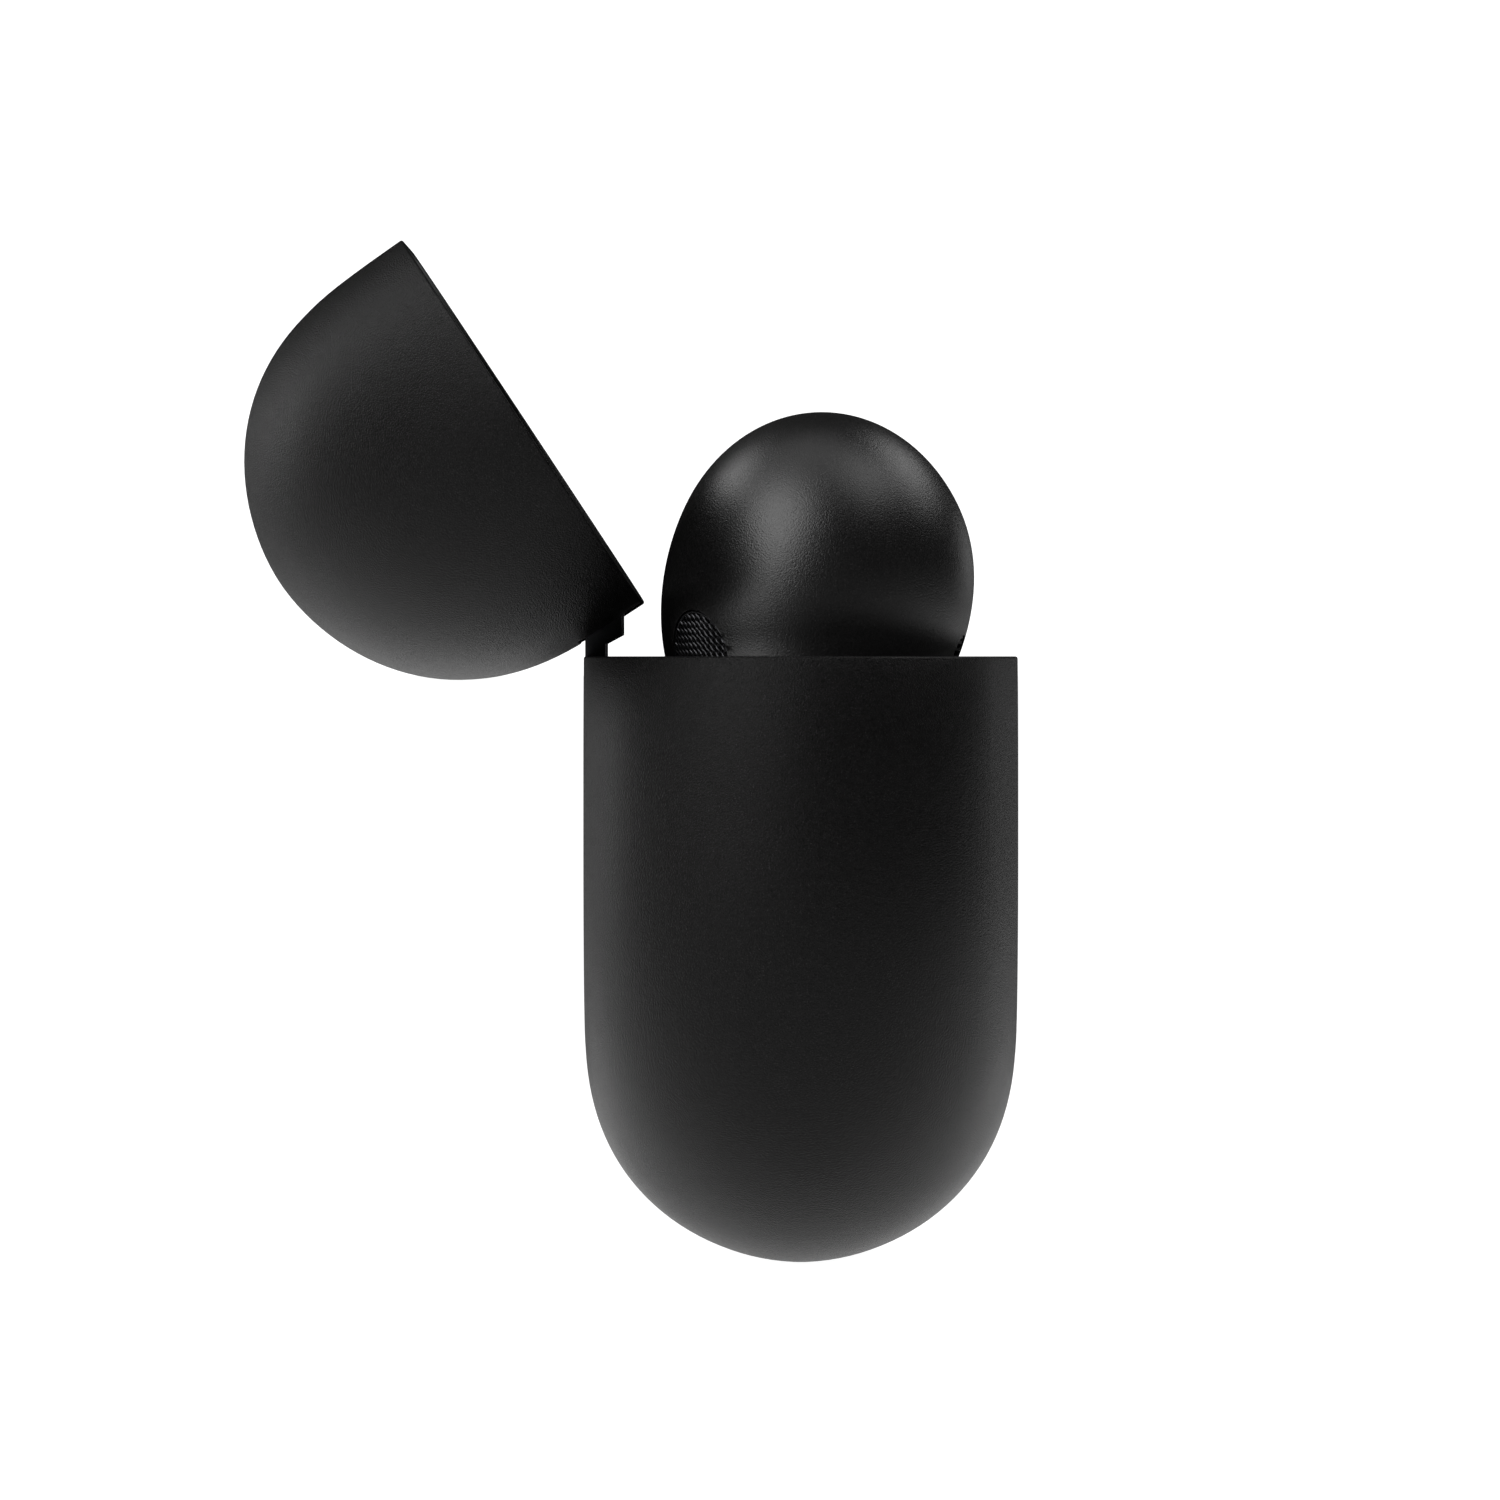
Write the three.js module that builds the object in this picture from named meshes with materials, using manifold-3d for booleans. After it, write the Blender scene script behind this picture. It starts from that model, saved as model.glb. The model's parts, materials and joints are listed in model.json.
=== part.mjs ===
// A charging case for two wireless earbuds, standing upright with its lid open and both earbuds in place.
// Millimetres, +Z up, the case's width along X, its hinge at the back on the +Y side.
// The origin is the middle of the charge connector's tongue tip, just inside the lowest point of the case.
import * as THREE from 'three';
import { mergeVertices } from 'three/addons/utils/BufferGeometryUtils.js';
import { RoundedBoxGeometry } from 'three/addons/geometries/RoundedBoxGeometry.js';
import Module from 'manifold-3d';

const wasm = await Module();
wasm.setup();

// ---- Driving dimensions of the closed case ----
const CASE_WIDTH = 60.6;
const CASE_DEPTH = 21.7;
const CASE_HEIGHT = 45.2;
const PORT_RECESS = 0.6; // from the lowest point of the case up to the connector's tongue tip
const CASE_MID_Z = CASE_HEIGHT / 2 - PORT_RECESS;
const OUTLINE_R = 21.8; // corner radius of the outline seen from the front
const FLAT_HALF_WIDTH = 15.1; // the flat front and back faces
const FLAT_HALF_HEIGHT = 10.35;
const FLAT_R = 8.6;
const EDGE_INNER_POWER = 2.47; // how the rounded edge leaves the flat face
const EDGE_OUTER_POWER = 1.89; // how it turns in at the outline
const SPLIT_Z = 29.88; // the seam between body and lid
const SEAM = 0.3;
const RIM_Z = SPLIT_Z - SEAM / 2;
const LID_CUT_Z = SPLIT_Z + SEAM / 2;
const GAP = 0.3; // between pieces that touch
const BODY_WALL = 1.2;
const LID_WALL = 0.9;
const LINER_WALL = 0.5;
const BACK_Y = CASE_DEPTH / 2;

// ---- Driving dimensions of the hinge ----
const HINGE_Y = 10.1;
const HINGE_Z = 32.03;
const OPEN_ANGLE = THREE.MathUtils.degToRad(123.5);
const HINGE_HALF_WIDTH = 11;
const PIN_R = 0.35;
const PIN_HOLE_R = 0.42;
const KNUCKLE_R = 0.64;

// ---- Driving dimensions of an earbud ----
const HEAD_X = 10.5; // middle of the head, out from the middle of the case
const HEAD_Y = -1.06;
const HEAD_Z = 33; // widest level of the head
const HEAD_RX = 7.8;
const HEAD_RY = 7.82;
const HEAD_RISE = 9.07; // from the widest level to the crown
const HEAD_DROP = 9.5; // from the widest level to where the head would close without a stem
const STEM_X = 14;
const STEM_Y = -0.1;
const STEM_RX = 2.9;
const STEM_RY = 3.1;
const STEM_END_Z = 11.3;
const NECK_POWER = 8; // sharpness of the blend from head to stem
const LEAN_TOP_Z = 37.5; // the head leans back from this level down
const LEAN_END_Z = 22.5;
const SHIFT_TOP_Z = 31; // the neck moves out towards the stem from this level down
const SHIFT_END_Z = 22;
const BUD_WALL = 0.8;
const WELL_CLEARANCE = 0.35;
const WELL_WALL = 0.8;
const BUD_PARTING_X = 9;

// ---- Materials ----
const FINISHES = {
  softTouchBlack: { color: 0x1d1c1d, roughness: 0.62, metalness: 0 },
  innerBlack: { color: 0x151515, roughness: 0.5, metalness: 0 },
  darkMetal: { color: 0x1a1a1c, roughness: 0.4, metalness: 0.8 },
  steel: { color: 0x9a9ca0, roughness: 0.3, metalness: 1 },
  gold: { color: 0xc7a25a, roughness: 0.3, metalness: 1 },
  copper: { color: 0xb06a3c, roughness: 0.4, metalness: 1 },
  meshBlack: { color: 0x0e0e0f, roughness: 0.55, metalness: 0.6 },
  board: { color: 0x11331f, roughness: 0.5, metalness: 0 },
  cellWrap: { color: 0x8d9096, roughness: 0.45, metalness: 0.4 },
  magnet: { color: 0xa8abb0, roughness: 0.35, metalness: 1 },
  ferrite: { color: 0x2a2826, roughness: 0.7, metalness: 0.1 },
  lens: { color: 0x2b2b2a, roughness: 0.25, metalness: 0 },
  tongue: { color: 0x202124, roughness: 0.45, metalness: 0 },
};

const smoothstep = THREE.MathUtils.smoothstep;

// ---- From geometry to solid and back ----
function withSharedVertices(geometry) {
  const bare = geometry.clone();
  bare.deleteAttribute('normal');
  bare.deleteAttribute('uv');
  return mergeVertices(bare, 1e-5);
}

function solid(geometry) {
  const merged = withSharedVertices(geometry);
  return new wasm.Manifold(new wasm.Mesh({
    numProp: 3,
    vertProperties: new Float32Array(merged.attributes.position.array),
    triVerts: new Uint32Array(merged.index.array),
  }));
}

function geometryOf(manifold) {
  const mesh = manifold.getMesh();
  const geometry = new THREE.BufferGeometry();
  geometry.setAttribute('position', new THREE.BufferAttribute(new Float32Array(mesh.vertProperties), 3));
  geometry.setIndex(new THREE.BufferAttribute(new Uint32Array(mesh.triVerts), 1));
  return geometry;
}

const join = (first, ...others) => others.reduce((whole, other) => whole.add(other), first);
const cut = (first, ...others) => others.reduce((whole, other) => whole.subtract(other), first);

// A block between two corners.
function block([x0, x1], [y0, y1], [z0, z1]) {
  const geometry = new THREE.BoxGeometry(x1 - x0, y1 - y0, z1 - z0);
  return geometry.translate((x0 + x1) / 2, (y0 + y1) / 2, (z0 + z1) / 2);
}

function roundedBlock([x0, x1], [y0, y1], [z0, z1], radius) {
  const geometry = new RoundedBoxGeometry(x1 - x0, y1 - y0, z1 - z0, 1, radius);
  return geometry.translate((x0 + x1) / 2, (y0 + y1) / 2, (z0 + z1) / 2);
}

// Round bars along each axis, from one end to the other.
function barX(radius, [x0, x1], y, z, sides = 16) {
  const geometry = new THREE.CylinderGeometry(radius, radius, x1 - x0, sides);
  return geometry.rotateZ(Math.PI / 2).translate((x0 + x1) / 2, y, z);
}

function barY(radius, x, [y0, y1], z, sides = 20) {
  return new THREE.CylinderGeometry(radius, radius, y1 - y0, sides).translate(x, (y0 + y1) / 2, z);
}

function barZ(radius, x, y, [z0, z1], sides = 16) {
  const geometry = new THREE.CylinderGeometry(radius, radius, z1 - z0, sides);
  return geometry.rotateX(Math.PI / 2).translate(x, y, (z0 + z1) / 2);
}

// A flat ring about a Y axis.
function ringY(inner, outer, x, [y0, y1], z, sides = 32) {
  const profile = [[inner, y0], [outer, y0], [outer, y1], [inner, y1], [inner, y0]];
  const points = profile.map(([r, y]) => new THREE.Vector2(r, y));
  return new THREE.LatheGeometry(points, sides).translate(x, 0, z);
}

// A bar with a slot-shaped section, along Z.
function slotBar(width, depth, [z0, z1], arcSides = 8) {
  const r = depth / 2;
  const shape = new THREE.Shape();
  shape.absarc(width / 2 - r, 0, r, -Math.PI / 2, Math.PI / 2, false);
  shape.absarc(-(width / 2 - r), 0, r, Math.PI / 2, Math.PI * 1.5, false);
  const settings = { depth: z1 - z0, bevelEnabled: false, curveSegments: arcSides };
  return new THREE.ExtrudeGeometry(shape, settings).translate(0, 0, z0);
}

// A profile of (y, z) points carried along X.
function profileX(points, [x0, x1]) {
  const shape = new THREE.Shape(points.map(([y, z]) => new THREE.Vector2(y, z)));
  const geometry = new THREE.ExtrudeGeometry(shape, { depth: x1 - x0, bevelEnabled: false });
  const toYZ = new THREE.Matrix4().makeBasis(
    new THREE.Vector3(0, 1, 0), new THREE.Vector3(0, 0, 1), new THREE.Vector3(1, 0, 0));
  return geometry.applyMatrix4(toYZ).translate(x0, 0, 0);
}

function mirrorX(geometry) {
  const mirrored = withSharedVertices(geometry).scale(-1, 1, 1);
  const index = mirrored.index.array;
  for (let i = 0; i < index.length; i += 3) {
    const first = index[i];
    index[i] = index[i + 1];
    index[i + 1] = first;
  }
  return mirrored;
}

// A closed skin over rings of equally many points, with a middle point closing each end.
function skin(rings, firstMiddle, lastMiddle) {
  const count = rings[0].length;
  const points = [...rings.flat(), firstMiddle, lastMiddle];
  const first = points.length - 2;
  const last = points.length - 1;
  const index = [];
  for (let ring = 0; ring < rings.length - 1; ring++) {
    for (let i = 0; i < count; i++) {
      const a = ring * count + i;
      const b = ring * count + ((i + 1) % count);
      index.push(a, b, b + count, a, b + count, a + count);
    }
  }
  const lastRing = (rings.length - 1) * count;
  for (let i = 0; i < count; i++) {
    const next = (i + 1) % count;
    index.push(first, next, i);
    index.push(last, lastRing + i, lastRing + next);
  }
  const geometry = new THREE.BufferGeometry();
  geometry.setAttribute('position', new THREE.Float32BufferAttribute(points.flat(), 3));
  geometry.setIndex(index);
  return geometry;
}

// ---- The pebble form of the closed case ----
const OUTLINE_ARC_SIDES = 7;
const EDGE_RINGS = 6;

function roundedOutline(halfWidth, halfHeight, radius) {
  const points = [];
  for (let corner = 0; corner < 4; corner++) {
    const signX = corner === 0 || corner === 3 ? 1 : -1;
    const signZ = corner < 2 ? 1 : -1;
    for (let i = 0; i <= OUTLINE_ARC_SIDES; i++) {
      const angle = ((corner + i / OUTLINE_ARC_SIDES) * Math.PI) / 2;
      points.push([
        signX * (halfWidth - radius) + radius * Math.cos(angle),
        signZ * (halfHeight - radius) + radius * Math.sin(angle),
      ]);
    }
  }
  return points;
}

// The case's outer form with every face moved in by inset.
function pebble(inset) {
  const outer = roundedOutline(CASE_WIDTH / 2 - inset, CASE_HEIGHT / 2 - inset, OUTLINE_R - inset);
  const flat = roundedOutline(FLAT_HALF_WIDTH, FLAT_HALF_HEIGHT, FLAT_R);
  const halfDepth = CASE_DEPTH / 2 - inset;
  const ringAt = (share, side) => {
    const y = side * halfDepth * (1 - (1 - share) ** EDGE_INNER_POWER) ** (1 / EDGE_OUTER_POWER);
    return outer.map(([x, z], i) => [
      x + (flat[i][0] - x) * share,
      y,
      z + (flat[i][1] - z) * share + CASE_MID_Z,
    ]);
  };
  const rings = [];
  for (let step = EDGE_RINGS; step >= -EDGE_RINGS; step--) {
    const share = 1 - Math.cos((Math.abs(step) / EDGE_RINGS) * (Math.PI / 2));
    rings.push(ringAt(share, Math.sign(step)));
  }
  return skin(rings, [0, halfDepth, CASE_MID_Z], [0, -halfDepth, CASE_MID_Z]);
}

const FAR = 100; // beyond the object on every side
const below = (z) => solid(block([-FAR, FAR], [-FAR, FAR], [-FAR, z]));
const above = (z) => solid(block([-FAR, FAR], [-FAR, FAR], [z, FAR]));

// ---- The form of an earbud, on the case's -X side ----
const HEAD_SIDES = 20;
const CROWN_RINGS = 6;
const NECK_RINGS = 6;

function budSection(z, grow) {
  const fall = Math.min(1, Math.max(0, (HEAD_Z - z) / HEAD_DROP));
  const narrowing = Math.sqrt(1 - fall * fall);
  const blend = (head, stem) => ((head * narrowing) ** NECK_POWER + stem ** NECK_POWER) ** (1 / NECK_POWER);
  const shift = smoothstep(SHIFT_TOP_Z - z, 0, SHIFT_TOP_Z - SHIFT_END_Z);
  const lean = smoothstep(LEAN_TOP_Z - z, 0, LEAN_TOP_Z - LEAN_END_Z);
  return {
    x: -(HEAD_X + (STEM_X - HEAD_X) * shift),
    y: HEAD_Y + (STEM_Y - HEAD_Y) * lean,
    rx: blend(HEAD_RX, STEM_RX) + grow,
    ry: blend(HEAD_RY, STEM_RY) + grow,
  };
}

// The earbud's whole outer form with its surface moved out by grow, from its stem's end up to the crown.
function budForm(grow, sides = HEAD_SIDES) {
  const ringAt = (z, narrowing, level) => {
    const { x, y, rx, ry } = budSection(level, grow);
    return Array.from({ length: sides }, (_, i) => {
      const angle = (i / sides) * 2 * Math.PI;
      return [x + rx * narrowing * Math.cos(angle), y + ry * narrowing * Math.sin(angle), z];
    });
  };
  const endZ = STEM_END_Z - grow;
  const rings = [ringAt(endZ, 1, STEM_END_Z)];
  for (let i = 0; i <= NECK_RINGS; i++) {
    const z = LEAN_END_Z + ((HEAD_Z - LEAN_END_Z) * i) / NECK_RINGS;
    rings.push(ringAt(z, 1, z));
  }
  for (let i = 1; i < CROWN_RINGS; i++) {
    const angle = ((i / CROWN_RINGS) * Math.PI) / 2;
    const z = HEAD_Z + (HEAD_RISE + grow) * Math.sin(angle);
    rings.push(ringAt(z, Math.cos(angle), z));
  }
  const crown = budSection(HEAD_Z + HEAD_RISE, grow);
  const stem = budSection(STEM_END_Z, grow);
  return skin(rings, [stem.x, stem.y, endZ], [crown.x, crown.y, HEAD_Z + HEAD_RISE + grow]);
}

// An upright oval prism that points out of the head from its middle, turned from -X towards +Y.
function ovalProbe(halfWidth, halfHeight, turn, z, sides = 16) {
  const geometry = new THREE.CylinderGeometry(1, 1, HEAD_RX * 2, sides);
  geometry.rotateZ(Math.PI / 2).scale(1, halfWidth, halfHeight).translate(-HEAD_RX, 0, 0);
  return geometry.rotateZ(-turn).translate(-HEAD_X, HEAD_Y, z);
}

// ---- Assembly: the root group, the lid's turned group, and one mesh per piece ----
const earbudsCase = new THREE.Group();
const lidHinge = new THREE.Group();
const lid = new THREE.Group();
lidHinge.position.set(0, HINGE_Y, HINGE_Z);
lidHinge.rotation.x = -OPEN_ANGLE;
lid.position.set(0, -HINGE_Y, -HINGE_Z); // lid pieces are made in their closed places
lidHinge.add(lid);
earbudsCase.add(lidHinge);

function piece(group, name, shape, finish) {
  const geometry = shape.isBufferGeometry ? shape : geometryOf(shape);
  const mesh = new THREE.Mesh(geometry, new THREE.MeshStandardMaterial(FINISHES[finish]));
  mesh.name = name;
  group.add(mesh);
}

const SIDES = [[-1, 'left'], [1, 'right']];
const bothSides = (make) => SIDES.map(([side]) => make(side));

// ---- Places on the case ----
const HINGE_NOTCH = HINGE_HALF_WIDTH + GAP;
const HINGE_NOTCH_Y = 7.85;
const BODY_NOTCH_Z = 28.6;
const LID_NOTCH_Z = 33.7;
const BUTTON_Z = 14.6;
const BUTTON_R = 2.3;
const BUTTON_SIDES = 24;
const LIGHT_Z = 22;
const LIGHT_R = 0.7;
const PORT_WIDTH = 8.94;
const PORT_DEPTH = 3.16;
const PORT_WALL = 0.3;
const BEZEL_WALL = 0.7;
const BEZEL_TOP_Z = 1.6;

// ---- Body shell: the visible lower cover with its openings ----
function bodyShell() {
  const bezelMargin = 2 * (GAP + BEZEL_WALL + GAP);
  return cut(
    solid(pebble(0)),
    solid(pebble(BODY_WALL)),
    above(RIM_Z),
    solid(block([-HINGE_NOTCH, HINGE_NOTCH], [HINGE_NOTCH_Y, FAR], [BODY_NOTCH_Z, FAR])),
    solid(slotBar(PORT_WIDTH + bezelMargin, PORT_DEPTH + bezelMargin, [-FAR, 2 * BEZEL_TOP_Z])),
    solid(barY(BUTTON_R + GAP, 0, [0, FAR], BUTTON_Z, BUTTON_SIDES)),
    solid(barY(LIGHT_R + GAP, 0, [-FAR, 0], LIGHT_Z)),
  );
}
piece(earbudsCase, 'body_shell', bodyShell(), 'softTouchBlack');

// ---- Tray: the deck with the two wells that hold the earbuds ----
const DECK_TOP_Z = 29.5;
const DECK_THICKNESS = 0.8;
const BOSS_X = 6;
const BOSS_HALF_WIDTH = 1.6;
const BOSS_Y = [5.9, 8.05];
const BOSS_Z = [24.7, DECK_TOP_Z - 0.2];
const BRACKET_SCREW_Z = 26.3;
const SCREW_HOLE_R = 0.8;
const SCREW_SIDES = 12;
const CONTACT_PITCH = 2.4;
const CONTACT_SLOT_X = 1.4;
const CONTACT_SLOT_Y = 1.2;
const CONTACT_SLOT_Z = [9, 12];
const WELL_SIDES = 16;
const screwHole = (x, y, z) => solid(barY(SCREW_HOLE_R, x, y, z, SCREW_SIDES));
const wellForms = (grow) => {
  const left = budForm(grow, WELL_SIDES);
  return join(solid(left), solid(mirrorX(left)));
};

function tray() {
  const deck = solid(pebble(BODY_WALL + GAP)).intersect(
    solid(block([-FAR, FAR], [-FAR, FAR], [DECK_TOP_Z - DECK_THICKNESS, DECK_TOP_Z])));
  const bosses = bothSides((side) => solid(block(
    [side * BOSS_X - BOSS_HALF_WIDTH, side * BOSS_X + BOSS_HALF_WIDTH], BOSS_Y, BOSS_Z)));
  const hingeRecess = solid(block([-HINGE_NOTCH, HINGE_NOTCH], [BOSS_Y[1], FAR], [-FAR, FAR]));
  const screwHoles = bothSides((side) => screwHole(side * BOSS_X, [BOSS_Y[0] + GAP, FAR], BRACKET_SCREW_Z));
  const contactSlots = [-1, 1].flatMap((side) => [-0.5, 0.5].map((share) => {
    const x = side * STEM_X + share * CONTACT_PITCH;
    return solid(block(
      [x - CONTACT_SLOT_X / 2, x + CONTACT_SLOT_X / 2],
      [STEM_Y - CONTACT_SLOT_Y / 2, STEM_Y + CONTACT_SLOT_Y / 2],
      CONTACT_SLOT_Z,
    ));
  }));
  return cut(
    join(deck, wellForms(WELL_CLEARANCE + WELL_WALL), ...bosses),
    above(DECK_TOP_Z),
    wellForms(WELL_CLEARANCE),
    hingeRecess,
    ...screwHoles,
    ...contactSlots,
  );
}
piece(earbudsCase, 'earbud_tray', tray(), 'innerBlack');

// ---- Hinge: bracket on the body, pin, leaf on the lid, springs and screws ----
const BODY_KNUCKLES = [[-HINGE_HALF_WIDTH, -7], [-2.5, 2.5], [7, HINGE_HALF_WIDTH]];
const LID_KNUCKLES = [[-6.7, -2.8], [2.8, 6.7]];
const STRIP_Y = [9.82, 10.8];
const STRIP_Z = [28.9, 31];
const STRIP_STEP_Z = 29.4;
const FOOT_Y = [8.35, 8.85];
const FOOT_END_Z = 24.6;
const BLOCK_FRONT_Y = 8.99;
const BLOCK_FRONT_Z = [30.91, 33.3];
const BLOCK_CHAMFER = 0.31;
const BLOCK_UNDERCUT_Z = 30.46;
const BLOCK_ROOT_Z = 30;
const LEAF_Y = [8.35, 8.95];
const LEAF_Z = [34, 36.8];
const LEAF_SCREW_X = 8;
const LEAF_SCREW_Z = 35.4;
const KNUCKLE_FRONT_Y = HINGE_Y - KNUCKLE_R;
const PIN_SIDES = 12;
const PIN_END_INSET = 0.2;
const SPRING_END_INSET = 0.4;
const SPRING_THICKNESS = 0.15;
const SPRING_BEND_Z = [30.5, 31.3];
const SPRING_TIP_Z = 32;
const SPRING_TIP_Y = KNUCKLE_FRONT_Y - GAP;
const SCREW_HEAD_R = 1.15;
const SCREW_HEAD_HEIGHT = 0.4;
const SCREW_R = 0.5;
const pinHole = () => solid(barX(PIN_HOLE_R, [-FAR, FAR], HINGE_Y, HINGE_Z));

function hingeBracket() {
  const strip = profileX([
    [STRIP_Y[1], STRIP_Z[0]],
    [STRIP_Y[1], STRIP_Z[1]],
    [STRIP_Y[0], STRIP_Z[1]],
    [STRIP_Y[0], STRIP_STEP_Z],
    [FOOT_Y[0], STRIP_STEP_Z],
    [FOOT_Y[0], FOOT_END_Z],
    [FOOT_Y[1], FOOT_END_Z],
    [FOOT_Y[1], STRIP_Z[0]],
  ], [-HINGE_HALF_WIDTH, HINGE_HALF_WIDTH]);
  const knuckles = BODY_KNUCKLES.map((span) => solid(profileX([
    [STRIP_Y[1], BLOCK_ROOT_Z],
    [STRIP_Y[1], BLOCK_FRONT_Z[1]],
    [BLOCK_FRONT_Y + BLOCK_CHAMFER, BLOCK_FRONT_Z[1]],
    [BLOCK_FRONT_Y, BLOCK_FRONT_Z[1] - BLOCK_CHAMFER],
    [BLOCK_FRONT_Y, BLOCK_FRONT_Z[0]],
    [STRIP_Y[0], BLOCK_UNDERCUT_Z],
    [STRIP_Y[0], BLOCK_ROOT_Z],
  ], span)));
  const holeY = [FOOT_Y[0] - 1, FOOT_Y[1] + 1];
  const screwHoles = bothSides((side) => screwHole(side * BOSS_X, holeY, BRACKET_SCREW_Z));
  const springRecesses = LID_KNUCKLES.map((span) => solid(block(
    span, [FOOT_Y[1], STRIP_Y[0] + SPRING_THICKNESS + GAP], [STRIP_STEP_Z, FAR])));
  return cut(join(solid(strip), ...knuckles), pinHole(), ...screwHoles, ...springRecesses);
}
piece(earbudsCase, 'hinge_bracket', hingeBracket(), 'darkMetal');

const pinSpan = [PIN_END_INSET - HINGE_HALF_WIDTH, HINGE_HALF_WIDTH - PIN_END_INSET];
piece(earbudsCase, 'hinge_pin', barX(PIN_R, pinSpan, HINGE_Y, HINGE_Z, PIN_SIDES), 'steel');

// A screw along Y, from the face of its head to its tip.
function screwY(x, [headY, tipY], z) {
  const towards = Math.sign(tipY - headY);
  const neckY = headY + towards * SCREW_HEAD_HEIGHT;
  const span = (a, b) => [Math.min(a, b), Math.max(a, b)];
  return join(
    solid(barY(SCREW_HEAD_R, x, span(headY, neckY), z, SCREW_SIDES + 2)),
    solid(barY(SCREW_R, x, span(headY + towards * SCREW_HEAD_HEIGHT / 4, tipY), z, SCREW_SIDES - 2)),
  );
}

// A bent strip that stands in a recess of the bracket and leans forward to the flats of a lid knuckle.
function hingeSpring([x0, x1]) {
  const footZ = STRIP_STEP_Z + GAP;
  const [bendZ, endBendZ] = SPRING_BEND_Z;
  return profileX([
    [STRIP_Y[0], footZ],
    [STRIP_Y[0] + SPRING_THICKNESS, footZ],
    [STRIP_Y[0] + SPRING_THICKNESS, bendZ + SPRING_THICKNESS / 4],
    [SPRING_TIP_Y, endBendZ + SPRING_THICKNESS / 4],
    [SPRING_TIP_Y, SPRING_TIP_Z],
    [SPRING_TIP_Y - SPRING_THICKNESS, SPRING_TIP_Z],
    [SPRING_TIP_Y - SPRING_THICKNESS, endBendZ],
    [STRIP_Y[0], bendZ],
  ], [x0 + SPRING_END_INSET, x1 - SPRING_END_INSET]);
}

function hingeLeaf() {
  const plate = solid(block([-HINGE_HALF_WIDTH, HINGE_HALF_WIDTH], LEAF_Y, LEAF_Z));
  const arms = LID_KNUCKLES.flatMap((span) => [
    solid(profileX([
      [9.6, 32.1],
      [10.45, 32.45],
      [9.35, LID_NOTCH_Z],
      [LEAF_Y[1], LEAF_Z[0] + GAP],
      [LEAF_Y[0], LEAF_Z[0] + GAP],
      [LEAF_Y[0], LEAF_Z[0] - 0.1],
    ], span)),
    solid(barX(KNUCKLE_R, span, HINGE_Y, HINGE_Z)),
  ]);
  const holeY = [LEAF_Y[0] - 1, LEAF_Y[1] + 1];
  const screwHoles = bothSides((side) => screwHole(side * LEAF_SCREW_X, holeY, LEAF_SCREW_Z));
  return cut(join(plate, ...arms), pinHole(), ...screwHoles);
}
piece(lid, 'hinge_leaf', hingeLeaf(), 'darkMetal');

SIDES.forEach(([side, name], i) => {
  piece(earbudsCase, `hinge_spring_${name}`, hingeSpring(LID_KNUCKLES[i]), 'steel');
  piece(earbudsCase, `bracket_screw_${name}`, screwY(side * BOSS_X, [9.35, 6.6], BRACKET_SCREW_Z), 'steel');
  piece(lid, `leaf_screw_${name}`, screwY(side * LEAF_SCREW_X, [7.85, 9.3], LEAF_SCREW_Z), 'steel');
});

// ---- Lid shell and liner ----
const LINER_INSET = LID_WALL + GAP;
const CUP_HALF_WIDTH = 19.4; // the liner is a cup between these walls, and a flat flange beyond them
const FLANGE_THICKNESS = 0.8;
const RIDGE_HALF_WIDTH = 1.8;
const RIDGE_HOLLOW_R = 11.5;
const RIDGE_HOLLOW_Z = 28;
const RIDGE_HOLLOW_SIDES = 40;
const LID_NOTCH_Y = 5;
const lidNotch = (z) => solid(block([-HINGE_NOTCH, HINGE_NOTCH], [LID_NOTCH_Y, FAR], [-FAR, z]));

function lidShell() {
  return cut(solid(pebble(0)), solid(pebble(LID_WALL)), below(LID_CUT_Z), lidNotch(LID_NOTCH_Z));
}
piece(lid, 'lid_shell', lidShell(), 'softTouchBlack');

function lidLiner() {
  const startZ = LID_CUT_Z + GAP;
  const between = (halfWidth, z) => solid(block([-halfWidth, halfWidth], [-FAR, FAR], z));
  const outer = solid(pebble(LINER_INSET));
  const inner = solid(pebble(LINER_INSET + LINER_WALL));
  const cup = outer.intersect(between(CUP_HALF_WIDTH, [startZ, FAR]));
  const flange = outer.intersect(between(FAR, [startZ, startZ + FLANGE_THICKNESS]));
  const ridge = cut(
    outer.intersect(between(RIDGE_HALF_WIDTH, [startZ, FAR])),
    solid(barX(RIDGE_HOLLOW_R, [-CUP_HALF_WIDTH, CUP_HALF_WIDTH], 0, RIDGE_HOLLOW_Z, RIDGE_HOLLOW_SIDES)),
  );
  const hollow = inner.intersect(between(CUP_HALF_WIDTH - LINER_WALL, [-FAR, FAR]));
  return cut(join(cut(join(cup, flange), hollow), ridge), lidNotch(LEAF_Z[1] + GAP));
}
piece(lid, 'lid_liner', lidLiner(), 'innerBlack');

// ---- Magnets that keep the lid shut ----
const MAGNET_X = 21.5;
const MAGNET_HALF_WIDTH = 1.5;
const MAGNET_Y = [-4.5, -0.5];
const LID_MAGNET_Z = [31.6, 33.1];
const BODY_MAGNET_Z = [26.9, 28.4];

SIDES.forEach(([side, name]) => {
  const x = [side * MAGNET_X - MAGNET_HALF_WIDTH, side * MAGNET_X + MAGNET_HALF_WIDTH];
  piece(lid, `lid_magnet_${name}`, block(x, MAGNET_Y, LID_MAGNET_Z), 'magnet');
  piece(earbudsCase, `body_magnet_${name}`, block(x, MAGNET_Y, BODY_MAGNET_Z), 'magnet');
});

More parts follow.
